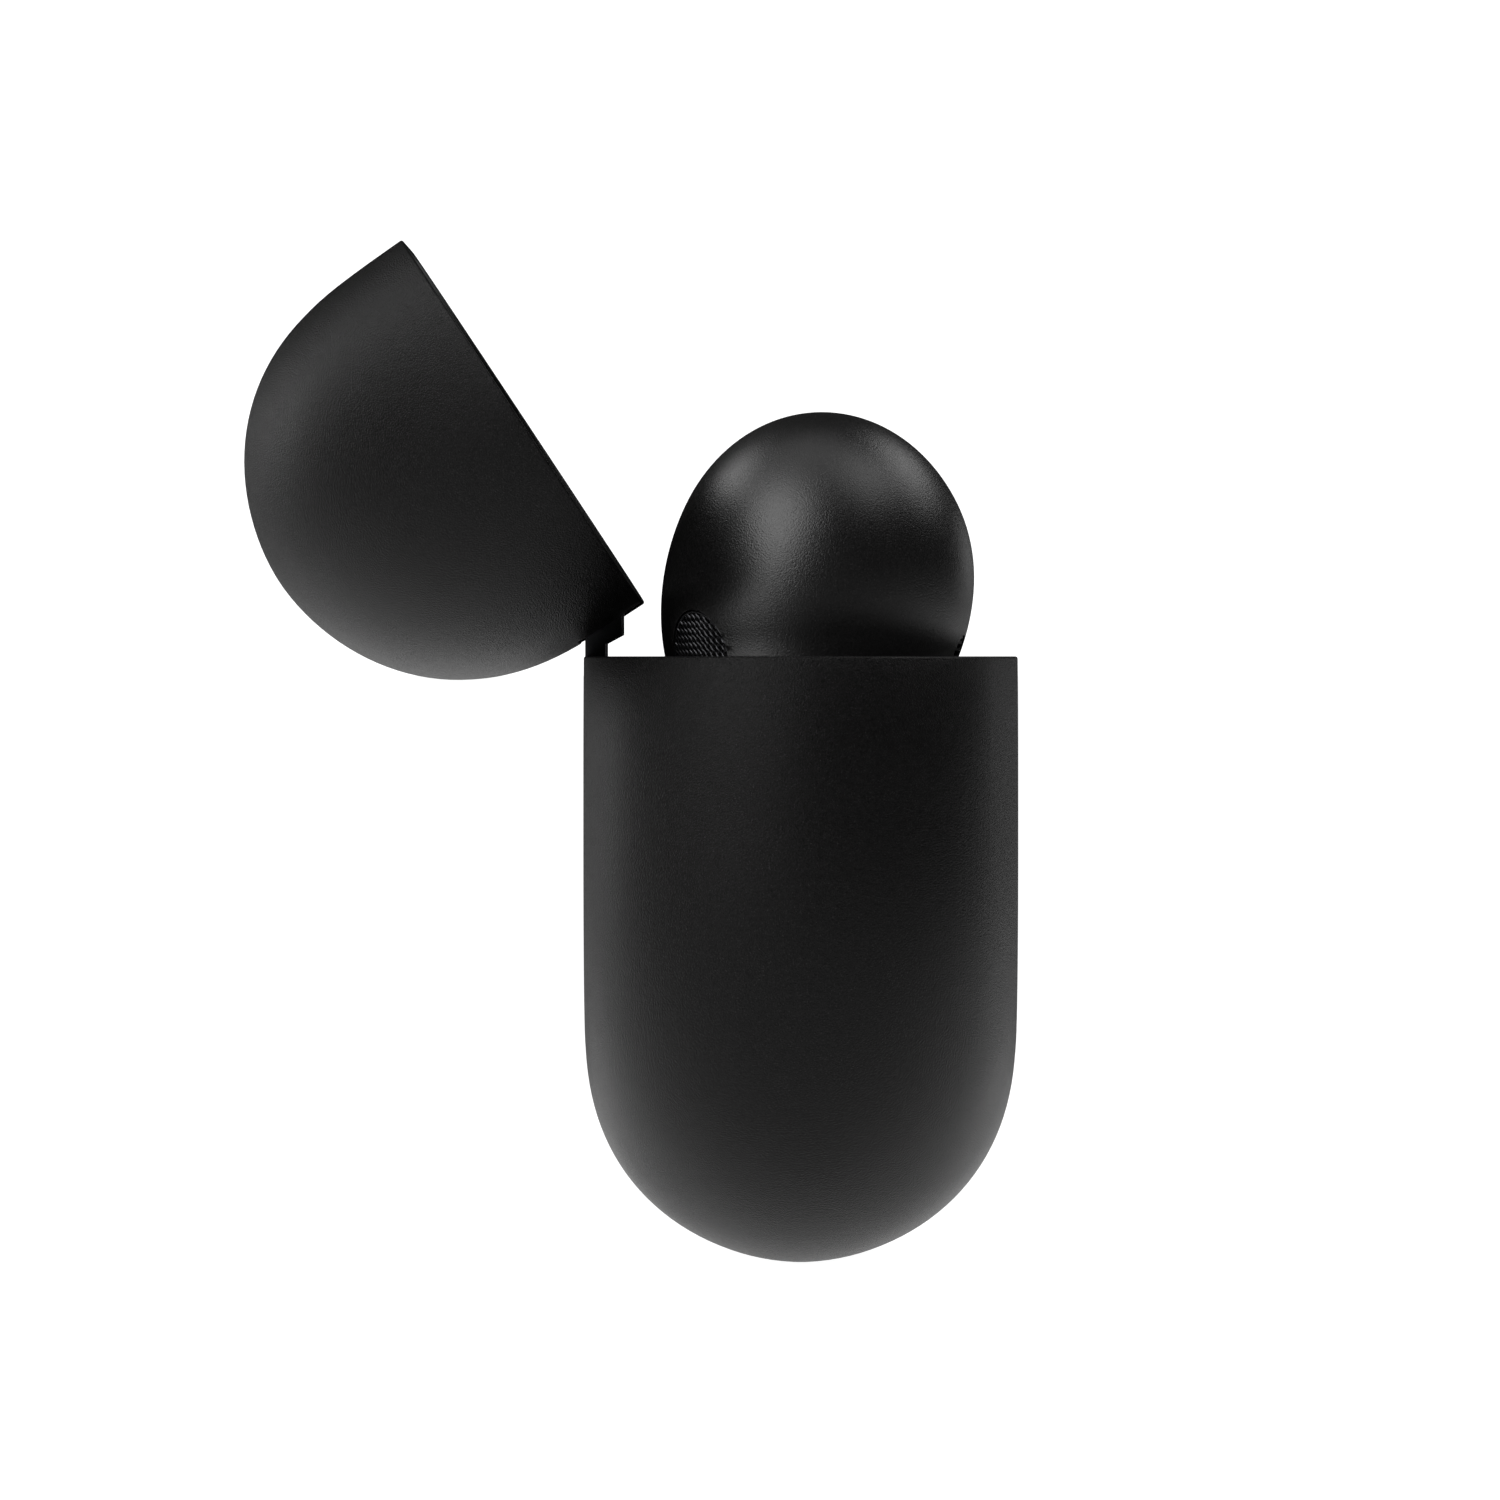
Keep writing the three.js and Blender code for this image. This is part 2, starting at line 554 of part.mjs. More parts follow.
// ---- Electronics in the body: the spans of each piece along X, Y and Z ----
const BATTERY = [[-9.3, 9.3], [-4.6, 4.4], [8.2, 22.4]];
const BATTERY_EDGE_R = 1;
const BOARD = [[-9.5, 9.5], [-6.4, -5.6], [8, 24]];
const BOARD_FRONT_Y = -6.5; // where what sits on the board starts
const SHIELD_CAN = [[-8.5, -1], [-7.6, BOARD_FRONT_Y], [9, 17]];
const SHIELD_EDGE_R = 0.2;
const LED = [[-0.8, 0.8], [-7.3, BOARD_FRONT_Y], [LIGHT_Z - 0.5, LIGHT_Z + 0.5]];
const HALL_SENSOR = [[-1.6, 1.6], [-7.4, BOARD_FRONT_Y], [18.4, 20]];
const SWITCH = [[-2.2, 2.2], [5.2, 6.8], [BUTTON_Z - 2.2, BUTTON_Z + 2.2]];
const SWITCH_PLUNGER_R = 1;
const COIL_INNER_R = 4.4;
const COIL_OUTER_R = 8.8;
const FACE_INSET = 0.05; // the light and the button sit this far below the case's flat faces
const FLANGE_Y = 8.8; // the flanges behind the light and the button lie inside the wall

piece(earbudsCase, 'case_battery', roundedBlock(...BATTERY, BATTERY_EDGE_R), 'cellWrap');
piece(earbudsCase, 'main_board', block(...BOARD), 'board');
piece(earbudsCase, 'shield_can', roundedBlock(...SHIELD_CAN, SHIELD_EDGE_R), 'steel');
piece(earbudsCase, 'status_led', block(...LED), 'lens');
piece(earbudsCase, 'hall_sensor', block(...HALL_SENSOR), 'tongue');
piece(earbudsCase, 'charging_coil', ringY(COIL_INNER_R, COIL_OUTER_R, 0, [7.7, 8.3], BUTTON_Z), 'copper');
piece(earbudsCase, 'coil_ferrite', ringY(COIL_INNER_R, COIL_OUTER_R + 0.2, 0, [6.9, 7.4], BUTTON_Z), 'ferrite');
piece(earbudsCase, 'status_light_lens', join(
  solid(barY(LIGHT_R, 0, [FACE_INSET - BACK_Y, -FLANGE_Y - 0.2], LIGHT_Z)),
  solid(barY(2 * LIGHT_R, 0, [-FLANGE_Y - 0.55, -FLANGE_Y], LIGHT_Z)),
), 'lens');
piece(earbudsCase, 'setup_switch', join(
  solid(block(...SWITCH)),
  solid(barY(SWITCH_PLUNGER_R, 0, [6.7, 8.2], BUTTON_Z)),
), 'tongue');
piece(earbudsCase, 'setup_button', join(
  solid(barY(BUTTON_R, 0, [FLANGE_Y + 0.1, BACK_Y - FACE_INSET], BUTTON_Z, BUTTON_SIDES)),
  solid(barY(BUTTON_R + 0.8, 0, [FLANGE_Y, FLANGE_Y + 0.55], BUTTON_Z, BUTTON_SIDES)),
), 'softTouchBlack');

// ---- Charge connector ----
const PORT_Z = [-0.35, 7];
const PORT_BASE = 0.5;
const BEZEL_Z = [-0.45, BEZEL_TOP_Z];
const TONGUE = [[-3.35, 3.35], [-0.35, 0.35], [0, 6.2]];
const bezelForm = (margin, z) => solid(slotBar(PORT_WIDTH + 2 * margin, PORT_DEPTH + 2 * margin, z));

piece(earbudsCase, 'port_shell', cut(
  bezelForm(0, PORT_Z), bezelForm(-PORT_WALL, [-FAR, PORT_Z[1] - PORT_BASE])), 'steel');
piece(earbudsCase, 'port_tongue', block(...TONGUE), 'tongue');
piece(earbudsCase, 'port_bezel', cut(
  bezelForm(GAP + BEZEL_WALL, BEZEL_Z), bezelForm(GAP, [-FAR, FAR])), 'darkMetal');

// ---- The two earbuds: each piece made on the -X side and mirrored for the right one ----
const STEM_CAP_Z = 12.3;
const STEM_HOLE_R = 0.7; // the microphone hole in the stem's cap
const MESH_DEPTH = [0.2, 0.5];
const degrees = THREE.MathUtils.degToRad;
// Each patch of mesh: its half width and half height, its turn from straight out towards the back, its level.
const VENT = [[1.95, 2.25], degrees(54), 29.6];
const BASS_SLOT = [[0.9, 1.4], degrees(-80), 29.2];
const SPEAKER = [[2.6, 3.4], degrees(160), 32.1];

// A patch of mesh that follows the head's surface, a little below it.
function meshPatch([halfWidth, halfHeight], turn, z) {
  const layer = cut(solid(budForm(-MESH_DEPTH[0])), solid(budForm(-MESH_DEPTH[1])));
  return layer.intersect(solid(ovalProbe(halfWidth, halfHeight, turn, z)));
}

const meshHole = ([halfWidth, halfHeight], turn, z) =>
  solid(ovalProbe(halfWidth + GAP, halfHeight + GAP, turn, z));

const ROUND_SIDES = 20;
const headBar = (radius, x, z) => barX(radius, x, HEAD_Y + GAP, z, ROUND_SIDES);
const outsideOf = (x) => solid(block([x, FAR], [-FAR, FAR], [-FAR, FAR]));

function budPieces() {
  const housing = cut(solid(budForm(0)), solid(budForm(-BUD_WALL)), below(STEM_CAP_Z + GAP));
  const outer = cut(housing, outsideOf(-BUD_PARTING_X - GAP / 2), meshHole(...VENT), meshHole(...BASS_SLOT));
  const inner = cut(housing.intersect(outsideOf(-BUD_PARTING_X + GAP / 2)), meshHole(...SPEAKER));
  const cap = cut(
    solid(budForm(0)).intersect(below(STEM_CAP_Z)),
    solid(barZ(STEM_HOLE_R, -STEM_X, STEM_Y, [0, STEM_CAP_Z + GAP])),
  );
  return {
    outer_housing: [outer, 'softTouchBlack'],
    inner_housing: [inner, 'softTouchBlack'],
    stem_cap: [cap, 'darkMetal'],
    vent_mesh: [meshPatch(...VENT), 'meshBlack'],
    bass_slot_mesh: [meshPatch(...BASS_SLOT), 'meshBlack'],
    speaker_mesh: [meshPatch(...SPEAKER), 'meshBlack'],
    driver: [headBar(4.6, [-8.6, -6.2], 33.2), 'steel'],
    cell: [headBar(4.4, [-15.4, -11.6], 34), 'cellWrap'],
    head_board: [roundedBlock([-10.6, -9.9], [-5, 3.4], [29.6, 38.2], 0.3), 'board'],
    antenna_board: [block([-STEM_X - 0.4, -STEM_X + 0.4], [-1.5, 1.3], [13.2, 23]), 'board'],
    neck_magnet: [barZ(1.4, -STEM_X + 0.4, STEM_Y, [23.5, 25.5], 14), 'magnet'],
  };
}

const CONTACT_HALF_X = 0.4;
const CONTACT_HALF_Y = 0.3;
const CONTACT_Z = [9.6, 11];

SIDES.forEach(([side, name]) => {
  for (const [part, [shape, finish]] of Object.entries(budPieces())) {
    const geometry = shape.isBufferGeometry ? shape : geometryOf(shape);
    piece(earbudsCase, `${name}_${part}`, side < 0 ? geometry : mirrorX(geometry), finish);
  }
  for (const [share, end] of [[0.5, 'outer'], [-0.5, 'inner']]) {
    const x = side * (STEM_X + share * CONTACT_PITCH);
    const contact = block(
      [x - CONTACT_HALF_X, x + CONTACT_HALF_X], [STEM_Y - CONTACT_HALF_Y, STEM_Y + CONTACT_HALF_Y], CONTACT_Z);
    piece(earbudsCase, `${name}_contact_${end}`, contact, 'gold');
  }
});

export default earbudsCase;
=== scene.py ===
import json
import math

import bmesh
import bpy
import numpy as np
from mathutils import Matrix, Vector

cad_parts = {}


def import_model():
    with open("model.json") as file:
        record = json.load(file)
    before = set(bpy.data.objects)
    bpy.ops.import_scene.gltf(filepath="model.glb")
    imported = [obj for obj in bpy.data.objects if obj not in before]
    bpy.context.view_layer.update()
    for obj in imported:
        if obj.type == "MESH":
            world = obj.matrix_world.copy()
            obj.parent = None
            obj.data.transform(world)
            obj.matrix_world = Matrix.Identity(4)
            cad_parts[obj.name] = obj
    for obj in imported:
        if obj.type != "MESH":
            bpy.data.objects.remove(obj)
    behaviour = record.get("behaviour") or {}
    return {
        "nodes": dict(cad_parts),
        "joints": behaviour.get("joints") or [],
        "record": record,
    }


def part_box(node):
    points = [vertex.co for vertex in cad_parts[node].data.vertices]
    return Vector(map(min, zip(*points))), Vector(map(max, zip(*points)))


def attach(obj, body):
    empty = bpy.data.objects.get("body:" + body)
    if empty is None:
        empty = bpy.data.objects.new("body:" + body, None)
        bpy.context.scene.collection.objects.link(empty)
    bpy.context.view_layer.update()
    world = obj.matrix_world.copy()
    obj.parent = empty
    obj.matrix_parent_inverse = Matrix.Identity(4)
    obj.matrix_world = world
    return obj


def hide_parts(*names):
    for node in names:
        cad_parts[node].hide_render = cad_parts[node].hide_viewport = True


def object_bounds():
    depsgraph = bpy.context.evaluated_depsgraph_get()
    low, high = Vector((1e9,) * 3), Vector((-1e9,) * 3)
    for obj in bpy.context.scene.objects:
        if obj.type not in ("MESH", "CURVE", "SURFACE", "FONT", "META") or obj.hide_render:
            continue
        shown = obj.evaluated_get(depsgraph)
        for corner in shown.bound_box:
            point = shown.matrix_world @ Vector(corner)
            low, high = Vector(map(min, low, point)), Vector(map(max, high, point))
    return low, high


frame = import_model()
cad_low, cad_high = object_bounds()

# ---- Driving dimensions: millimetres, in the closed case, as the CAD model has them ----
MM = 0.001
BODY_LOW, BODY_HIGH = (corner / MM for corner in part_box("body_shell"))
CASE_WIDTH = BODY_HIGH.x - BODY_LOW.x
CASE_DEPTH = BODY_HIGH.y - BODY_LOW.y
CASE_HEIGHT = 45.2
CASE_MID_Z = BODY_LOW.z + CASE_HEIGHT / 2
SPLIT_Z = 29.88
SEAM = 0.12
RIM_Z, LID_CUT_Z = SPLIT_Z - SEAM / 2, SPLIT_Z + SEAM / 2
OUTLINE_R = 21.8
FLAT_HALF_WIDTH, FLAT_HALF_HEIGHT, FLAT_R = 15.1, 10.35, 8.6
EDGE_INNER_POWER, EDGE_OUTER_POWER = 2.47, 1.89
GAP = 0.3
BODY_WALL, LID_WALL, LINER_WALL = 1.2, 0.9, 0.5
RIM_EDGE_R = 0.12
BACK_Y = CASE_DEPTH / 2
FAR = 100

LID_JOINT = next(joint for joint in frame["joints"] if joint["name"] == "lid_hinge")
HINGE = Vector(LID_JOINT["pos_m"]) / MM
OPEN_ANGLE = math.radians(LID_JOINT["range_deg"][1])
HINGE_HALF_WIDTH = 11
HINGE_NOTCH = HINGE_HALF_WIDTH + GAP
HINGE_NOTCH_Y = 7.85
BODY_NOTCH_Z, LID_NOTCH_Z, LID_NOTCH_Y = 28.6, 33.7, 5
PIN_R, PIN_HOLE_R, KNUCKLE_R = 0.35, 0.42, 0.64
LEAF_Y, LEAF_Z = (8.35, 8.95), (34, 36.8)
LEAF_SCREW_X, LEAF_SCREW_Z = 8, 35.4
BOSS_X, BRACKET_SCREW_Z = 6, 26.3
DECK_TOP_Z, DECK_THICKNESS = 29.5, 0.8

HEAD_X, HEAD_Y, HEAD_Z = 10.5, -1.06, 33
HEAD_RX, HEAD_RY, HEAD_RISE, HEAD_DROP = 7.8, 7.82, 9.07, 9.5
STEM_X, STEM_Y, STEM_RX, STEM_RY, STEM_END_Z = 14, -0.1, 2.9, 3.1, 11.3
NECK_POWER = 8
LEAN_TOP_Z, LEAN_END_Z, SHIFT_TOP_Z, SHIFT_END_Z = 37.5, 22.5, 31, 22
BUD_WALL, BUD_PARTING_X, STEM_CAP_Z = 0.8, 9, 12.3
PARTING = 0.1
WELL_CLEARANCE, WELL_WALL = 0.35, 0.8
VENT = ((1.95, 2.25), math.radians(54), 29.6)
BASS_SLOT = ((0.9, 1.4), math.radians(-80), 29.2)
SPEAKER = ((2.6, 3.4), math.radians(160), 32.1)

BUTTON_Z, BUTTON_R = 14.6, 2.3
LIGHT_Z, LIGHT_R = 22, 0.7
FACE_INSET = 0.05
PORT_WIDTH, PORT_DEPTH, PORT_WALL, BEZEL_WALL = 8.94, 3.16, 0.3, 0.7


# ---- Materials: each one is a Principled shader with its own procedural detail ----
class Finish:
    """A new material, with short calls that add and link its nodes."""

    def __init__(self, name, colour, roughness, **settings):
        self.material = bpy.data.materials.new(name)
        self.material.use_nodes = True
        self.tree = self.material.node_tree
        self.shader = self.tree.nodes["Principled BSDF"]
        self.set(self.shader, {"Base Color": (*colour, 1), "Roughness": roughness, **settings})
        self.place = self.tree.nodes.new("ShaderNodeTexCoord").outputs["Object"]

    def set(self, node, values):
        for socket, value in values.items():
            node.inputs[socket].default_value = value

    def add(self, kind, values, links=()):
        node = self.tree.nodes.new(kind)
        self.set(node, values)
        for socket, source in links:
            self.tree.links.new(source, node.inputs[socket])
        return node

    def link(self, source, socket):
        self.tree.links.new(source, self.shader.inputs[socket])

    def noise(self, size, detail=2, stretch=(1, 1, 1)):
        """Noise whose features are about size millimetres across."""
        stretched = self.add("ShaderNodeMapping", {"Scale": stretch}, [("Vector", self.place)])
        place = stretched.outputs["Vector"]
        settings = {"Scale": 1 / (size * MM), "Detail": detail}
        return self.add("ShaderNodeTexNoise", settings, [("Vector", place)]).outputs["Fac"]

    def map(self, source, low, high, from_low=0.3, from_high=0.7):
        node = self.add("ShaderNodeMapRange", {
            "From Min": from_low, "From Max": from_high, "To Min": low, "To Max": high}, [("Value", source)])
        return node.outputs["Result"]

    def mix(self, source, first, second, from_low=0.3, from_high=0.7):
        share = self.map(source, 0, 1, from_low, from_high)
        node = self.tree.nodes.new("ShaderNodeMix")
        node.data_type = "RGBA"
        colours = [socket for socket in node.inputs if socket.type == "RGBA"]
        for socket, colour in zip(colours, (first, second)):
            if isinstance(colour, tuple):
                socket.default_value = (*colour, 1)
            else:
                self.tree.links.new(colour, socket)
        self.tree.links.new(share, node.inputs["Factor"])
        return next(socket for socket in node.outputs if socket.type == "RGBA")

    def bump(self, source, height, strength=1, below=None):
        """Bump of the given height in millimetres, on top of an earlier bump."""
        links = [("Height", source)] + ([("Normal", below)] if below else [])
        node = self.add("ShaderNodeBump", {"Distance": height * MM, "Strength": strength}, links)
        self.link(node.outputs["Normal"], "Normal")
        return node.outputs["Normal"]


def soft_touch(name, tone, roughness, specular, grain_height):
    """A soft-touch coat: matte black, with a fine grain and tiny specks that catch the light."""
    finish = Finish(name, (tone, tone, tone), roughness, **{"Specular IOR Level": specular})
    grain = finish.noise(0.085, 2)
    specks = finish.noise(0.07, 1)
    cloud = finish.noise(9, 3)
    darker, lighter = (tone * 0.15, tone * 0.14, tone * 0.16), (tone * 2, tone * 1.94, tone * 1.96)
    base = finish.mix(grain, darker, lighter, 0.36, 0.64)
    base = finish.mix(specks, base, (tone * 9, tone * 8.7, tone * 8.8), 0.62, 0.8)
    finish.link(base, "Base Color")
    finish.link(finish.map(cloud, roughness - 0.03, roughness + 0.04), "Roughness")
    coarse = finish.bump(grain, grain_height)
    finish.bump(specks, grain_height * 0.6, 1, coarse)
    return finish.material


def moulded(name, tone, roughness, grain_size=0.25, grain_height=0.004):
    """A smooth moulded plastic with a faint spark-eroded grain."""
    finish = Finish(name, (tone, tone, tone * 1.03), roughness)
    grain = finish.noise(grain_size, 3)
    cloud = finish.noise(6, 2)
    darker, lighter = (tone * 0.85, tone * 0.85, tone * 0.88), (tone * 1.2, tone * 1.2, tone * 1.22)
    finish.link(finish.mix(cloud, darker, lighter), "Base Color")
    finish.link(finish.map(grain, roughness - 0.05, roughness + 0.06), "Roughness")
    finish.bump(grain, grain_height)
    return finish.material


def metal(name, colour, roughness, stretch=(0.06, 1, 1), grain_size=0.12, grain_height=0.003,
          metallic=1.0):
    """A metal brushed along the axis with the small stretch."""
    finish = Finish(name, colour, roughness, Metallic=metallic)
    grain = finish.noise(grain_size, 4, stretch)
    finish.link(finish.map(grain, roughness - 0.08, roughness + 0.1), "Roughness")
    darker = tuple(part * 0.8 for part in colour)
    lighter = tuple(min(1, part * 1.12) for part in colour)
    finish.link(finish.mix(finish.noise(3, 3), darker, lighter), "Base Color")
    finish.bump(grain, grain_height)
    return finish.material


def circuit_board():
    finish = Finish("circuit_board", (0.01, 0.06, 0.03), 0.32)
    weave = finish.noise(0.3, 2, (1, 1, 0.2))
    finish.link(finish.mix(weave, (0.008, 0.05, 0.025), (0.015, 0.085, 0.045)), "Base Color")
    finish.bump(weave, 0.01)
    return finish.material


def light_lens():
    finish = Finish("light_lens", (0.03, 0.03, 0.028), 0.28)
    cloud = finish.noise(0.5, 3)
    finish.link(finish.mix(cloud, (0.022, 0.022, 0.02), (0.04, 0.04, 0.037)), "Base Color")
    finish.bump(cloud, 0.004)
    return finish.material


CASE_SHELL = soft_touch("case_shell", 0.0024, 0.33, 0.1, 0.045)
EARBUD_SHELL = soft_touch("earbud_shell", 0.003, 0.32, 0.5, 0.016)
INNER_PLASTIC = moulded("inner_plastic", 0.011, 0.36)
HINGE_METAL = metal("hinge_metal", (0.03, 0.03, 0.032), 0.38)
STEM_METAL = metal("stem_metal", (0.035, 0.035, 0.038), 0.34, (1, 1, 0.05))
MESH_WIRE = metal("metal_mesh", (0.05, 0.05, 0.053), 0.36, (1, 1, 1), 0.05)
MESH_BACKING = moulded("mesh_backing", 0.004, 0.8, 0.08, 0.01)
STEEL = metal("steel", (0.56, 0.57, 0.59), 0.28)
MAGNET = metal("magnet", (0.62, 0.63, 0.65), 0.2, (1, 1, 1), 0.6)
GOLD = metal("contact_gold", (0.8, 0.58, 0.24), 0.24, (1, 1, 0.2))
COPPER = metal("copper", (0.72, 0.34, 0.17), 0.3, (1, 1, 1), 0.15)
CELL_WRAP = metal("cell_wrap", (0.45, 0.46, 0.48), 0.34, (1, 1, 1), 1.2, 0.03, 0.75)
FERRITE = moulded("ferrite", 0.028, 0.6, 0.1, 0.01)
COMPONENT = moulded("component_plastic", 0.018, 0.42)
BOARD = circuit_board()
LENS = light_lens()
SLOT_MATERIALS = {
    "case_shell": CASE_SHELL, "earbud_shell": EARBUD_SHELL, "inner_plastic": INNER_PLASTIC,
    "hinge_metal": HINGE_METAL, "stem_metal": STEM_METAL, "metal_mesh": MESH_WIRE, "steel": STEEL,
    "magnet": MAGNET, "contact_gold": GOLD, "copper": COPPER, "circuit_board": BOARD,
    "cell_wrap": CELL_WRAP, "ferrite": FERRITE, "component_plastic": COMPONENT, "light_lens": LENS,
}


# ---- Forms: closed meshes in millimetres that are joined, cut and rounded ----
def form(points, faces, weld=0):
    mesh = bpy.data.meshes.new("form")
    mesh.from_pydata([tuple(map(float, p)) for p in points], [], faces)
    shape = bmesh.new()
    shape.from_mesh(mesh)
    if weld:
        bmesh.ops.remove_doubles(shape, verts=shape.verts, dist=weld)
    bmesh.ops.recalc_face_normals(shape, faces=shape.faces)
    shape.to_mesh(mesh)
    shape.free()
    made = bpy.data.objects.new("form", mesh)
    bpy.context.scene.collection.objects.link(made)
    return made


def skin(rings, flat_ends=(True, True), weld=0):
    """A closed form over rings of equally many points; an end without a flat face closes on itself."""
    count = len(rings[0])
    faces = []
    for ring in range(len(rings) - 1):
        for i in range(count):
            a, b = ring * count + i, ring * count + (i + 1) % count
            faces.append((a, b, b + count, a + count))
    last = (len(rings) - 1) * count
    ends = (tuple(range(count))[::-1], tuple(range(last, last + count)))
    faces += [end for end, flat in zip(ends, flat_ends) if flat]
    return form([p for ring in rings for p in ring], faces, weld)


def block(x, y, z):
    corners = ((x[0], y[0]), (x[1], y[0]), (x[1], y[1]), (x[0], y[1]))
    return skin([[(*corner, level) for corner in corners] for level in z])


def copy(source, moved=Matrix.Identity(4)):
    made = bpy.data.objects.new("form", source.data.copy())
    bpy.context.scene.collection.objects.link(made)
    made.data.transform(moved)
    if moved.determinant() < 0:
        made.data.flip_normals()
    return made


def combine(operation, target, *others):
    for other in others:
        modifier = target.modifiers.new("combine", "BOOLEAN")
        modifier.operation, modifier.solver, modifier.object = operation, "MANIFOLD", other
    made = bpy.data.meshes.new_from_object(target.evaluated_get(bpy.context.evaluated_depsgraph_get()))
    target.modifiers.clear()
    target.data = made
    for other in others:
        bpy.data.objects.remove(other)
    return target


def cut(target, *others):
    return combine("DIFFERENCE", target, *others)


def join(target, *others):
    return combine("UNION", target, *others)


def common(target, *others):
    return combine("INTERSECT", target, *others)


def below(z):
    return block((-FAR, FAR), (-FAR, FAR), (-FAR, z))


SHARPEST = math.radians(35)


def round_edges(target, width, chosen=lambda middle: True, segments=3, clamp=True):
    """Rounds the sharp edges whose middle is chosen."""
    shape = bmesh.new()
    shape.from_mesh(target.data)
    bmesh.ops.remove_doubles(shape, verts=shape.verts, dist=width / 8)
    bmesh.ops.dissolve_degenerate(shape, edges=shape.edges, dist=width / 8)
    edges = [
        edge for edge in shape.edges
        if len(edge.link_faces) == 2 and edge.calc_face_angle(0) > SHARPEST
        and chosen((edge.verts[0].co + edge.verts[1].co) / 2)
    ]
    bmesh.ops.bevel(shape, geom=edges, offset=width, offset_type="OFFSET", segments=segments,
                    profile=0.5, affect="EDGES", clamp_overlap=clamp)
    shape.to_mesh(target.data)
    shape.free()
    return target


def melt_edges(target, voxel, smoothing):
    """Remeshes a form finely and smooths it, so that every edge and inside corner becomes a small round."""
    remesh = target.modifiers.new("remesh", "REMESH")
    remesh.mode, remesh.voxel_size, remesh.adaptivity = "VOXEL", voxel, 0
    smooth = target.modifiers.new("smooth", "SMOOTH")
    smooth.factor, smooth.iterations = 0.5, smoothing
    return combine("UNION", target)


def round_bar(radius, start, end, sides=48, edge=0):
    """A round bar from one point to another, with its end edges rounded."""
    start, end = Vector(start), Vector(end)
    along = (end - start).normalized()
    side = along.orthogonal().normalized()
    other = along.cross(side)
    turns = np.linspace(0, 2 * np.pi, sides, endpoint=False)
    steps = [(radius, 0.0)]
    if edge:
        quarter = np.linspace(0, np.pi / 2, 5)
        steps = [(radius - edge + edge * math.sin(a), edge - edge * math.cos(a)) for a in quarter]
    length = (end - start).length
    profile = steps + [(r, length - s) for r, s in reversed(steps)]
    return skin([
        [start + along * s + side * (r * math.cos(a)) + other * (r * math.sin(a)) for a in turns]
        for r, s in profile
    ])


def lathe_y(profile, x, z, sides=64):
    """A round form about an axis along Y, over (radius, y) points."""
    turns = np.linspace(0, 2 * np.pi, sides, endpoint=False)
    return skin([[(x + r * math.cos(a), y, z - r * math.sin(a)) for a in turns] for r, y in profile])


def slot_outline(width, depth, arc_sides=20):
    r = depth / 2
    half = np.linspace(-np.pi / 2, np.pi / 2, arc_sides + 1)
    loop = [(width / 2 - r + r * math.cos(a), r * math.sin(a)) for a in half]
    return loop + [(-x, -y) for x, y in loop]


def slot_bar(width, depth, steps):
    """A bar with a slot-shaped section along Z, over (level, inset) steps."""
    return skin([
        [(x, y, level) for x, y in slot_outline(width - 2 * inset, depth - 2 * inset)]
        for level, inset in steps
    ])


def profile_x(points, span):
    return skin([[(x, y, z) for y, z in points] for x in span])


def pin_hole():
    return round_bar(PIN_HOLE_R, (-FAR, HINGE.y, HINGE.z), (FAR, HINGE.y, HINGE.z))


CLOSED = Matrix.Identity(4)
OPENED = Matrix.Translation(HINGE) @ Matrix.Rotation(-OPEN_ANGLE, 4, "X") @ Matrix.Translation(-HINGE)
MIRROR_X = Matrix.Scale(-1, 4, (1, 0, 0))


def place(made, name, body, nodes, slot, moved=CLOSED, smooth_angle=38):
    """Sets a finished form in place, in metres, as a piece of the object that stands for CAD nodes."""
    made.name = made.data.name = name
    made.data.transform(Matrix.Scale(MM, 4) @ moved)
    if moved.determinant() < 0:
        made.data.flip_normals()
    made.data.polygons.foreach_set("use_smooth", [True] * len(made.data.polygons))
    made.data.set_sharp_from_angle(angle=math.radians(smooth_angle))
    if not any(made.data.materials):
        made.data.materials.clear()
        made.data.materials.append(SLOT_MATERIALS[slot])
    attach(made, body)
    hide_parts(*nodes)
    return made


# ---- The pebble form of the closed case, in level sections ----
EDGE_STEPS, FLAT_STEPS = 34, 10


def rise(share):
    return (1 - (1 - share) ** EDGE_INNER_POWER) ** (1 / EDGE_OUTER_POWER)


def eased(steps):
    return [1 - math.cos(i / steps * math.pi / 2) for i in range(steps + 1)]


def level_section(z, inset):
    """The closed form's level section with its surface moved in by inset, as points round from +X."""
    half_width, half_height, radius = CASE_WIDTH / 2 - inset, CASE_HEIGHT / 2 - inset, OUTLINE_R - inset
    half_depth = CASE_DEPTH / 2 - inset
    height = abs(z - CASE_MID_Z)
    top_share = min(1, max(0, (half_height - height) / (half_height - FLAT_HALF_HEIGHT)))
    quarter = []
    for share in (top_share * step for step in eased(EDGE_STEPS)):
        w = half_width + (FLAT_HALF_WIDTH - half_width) * share
        h = half_height + (FLAT_HALF_HEIGHT - half_height) * share
        r = radius + (FLAT_R - radius) * share
        over = min(r, max(0, height - (h - r)))
        quarter.append((w - r + math.sqrt(r * r - over * over), half_depth * rise(share)))
    edge_x, edge_y = quarter[-1]
    quarter += [(edge_x * (1 - i / FLAT_STEPS), edge_y) for i in range(1, FLAT_STEPS + 1)]
    left = [(-x, y) for x, y in quarter[-2::-1]]
    front = [(x, -y) for x, y in (quarter + left)[-2:0:-1]]
    return [(x, y, z) for x, y in quarter + left + front]


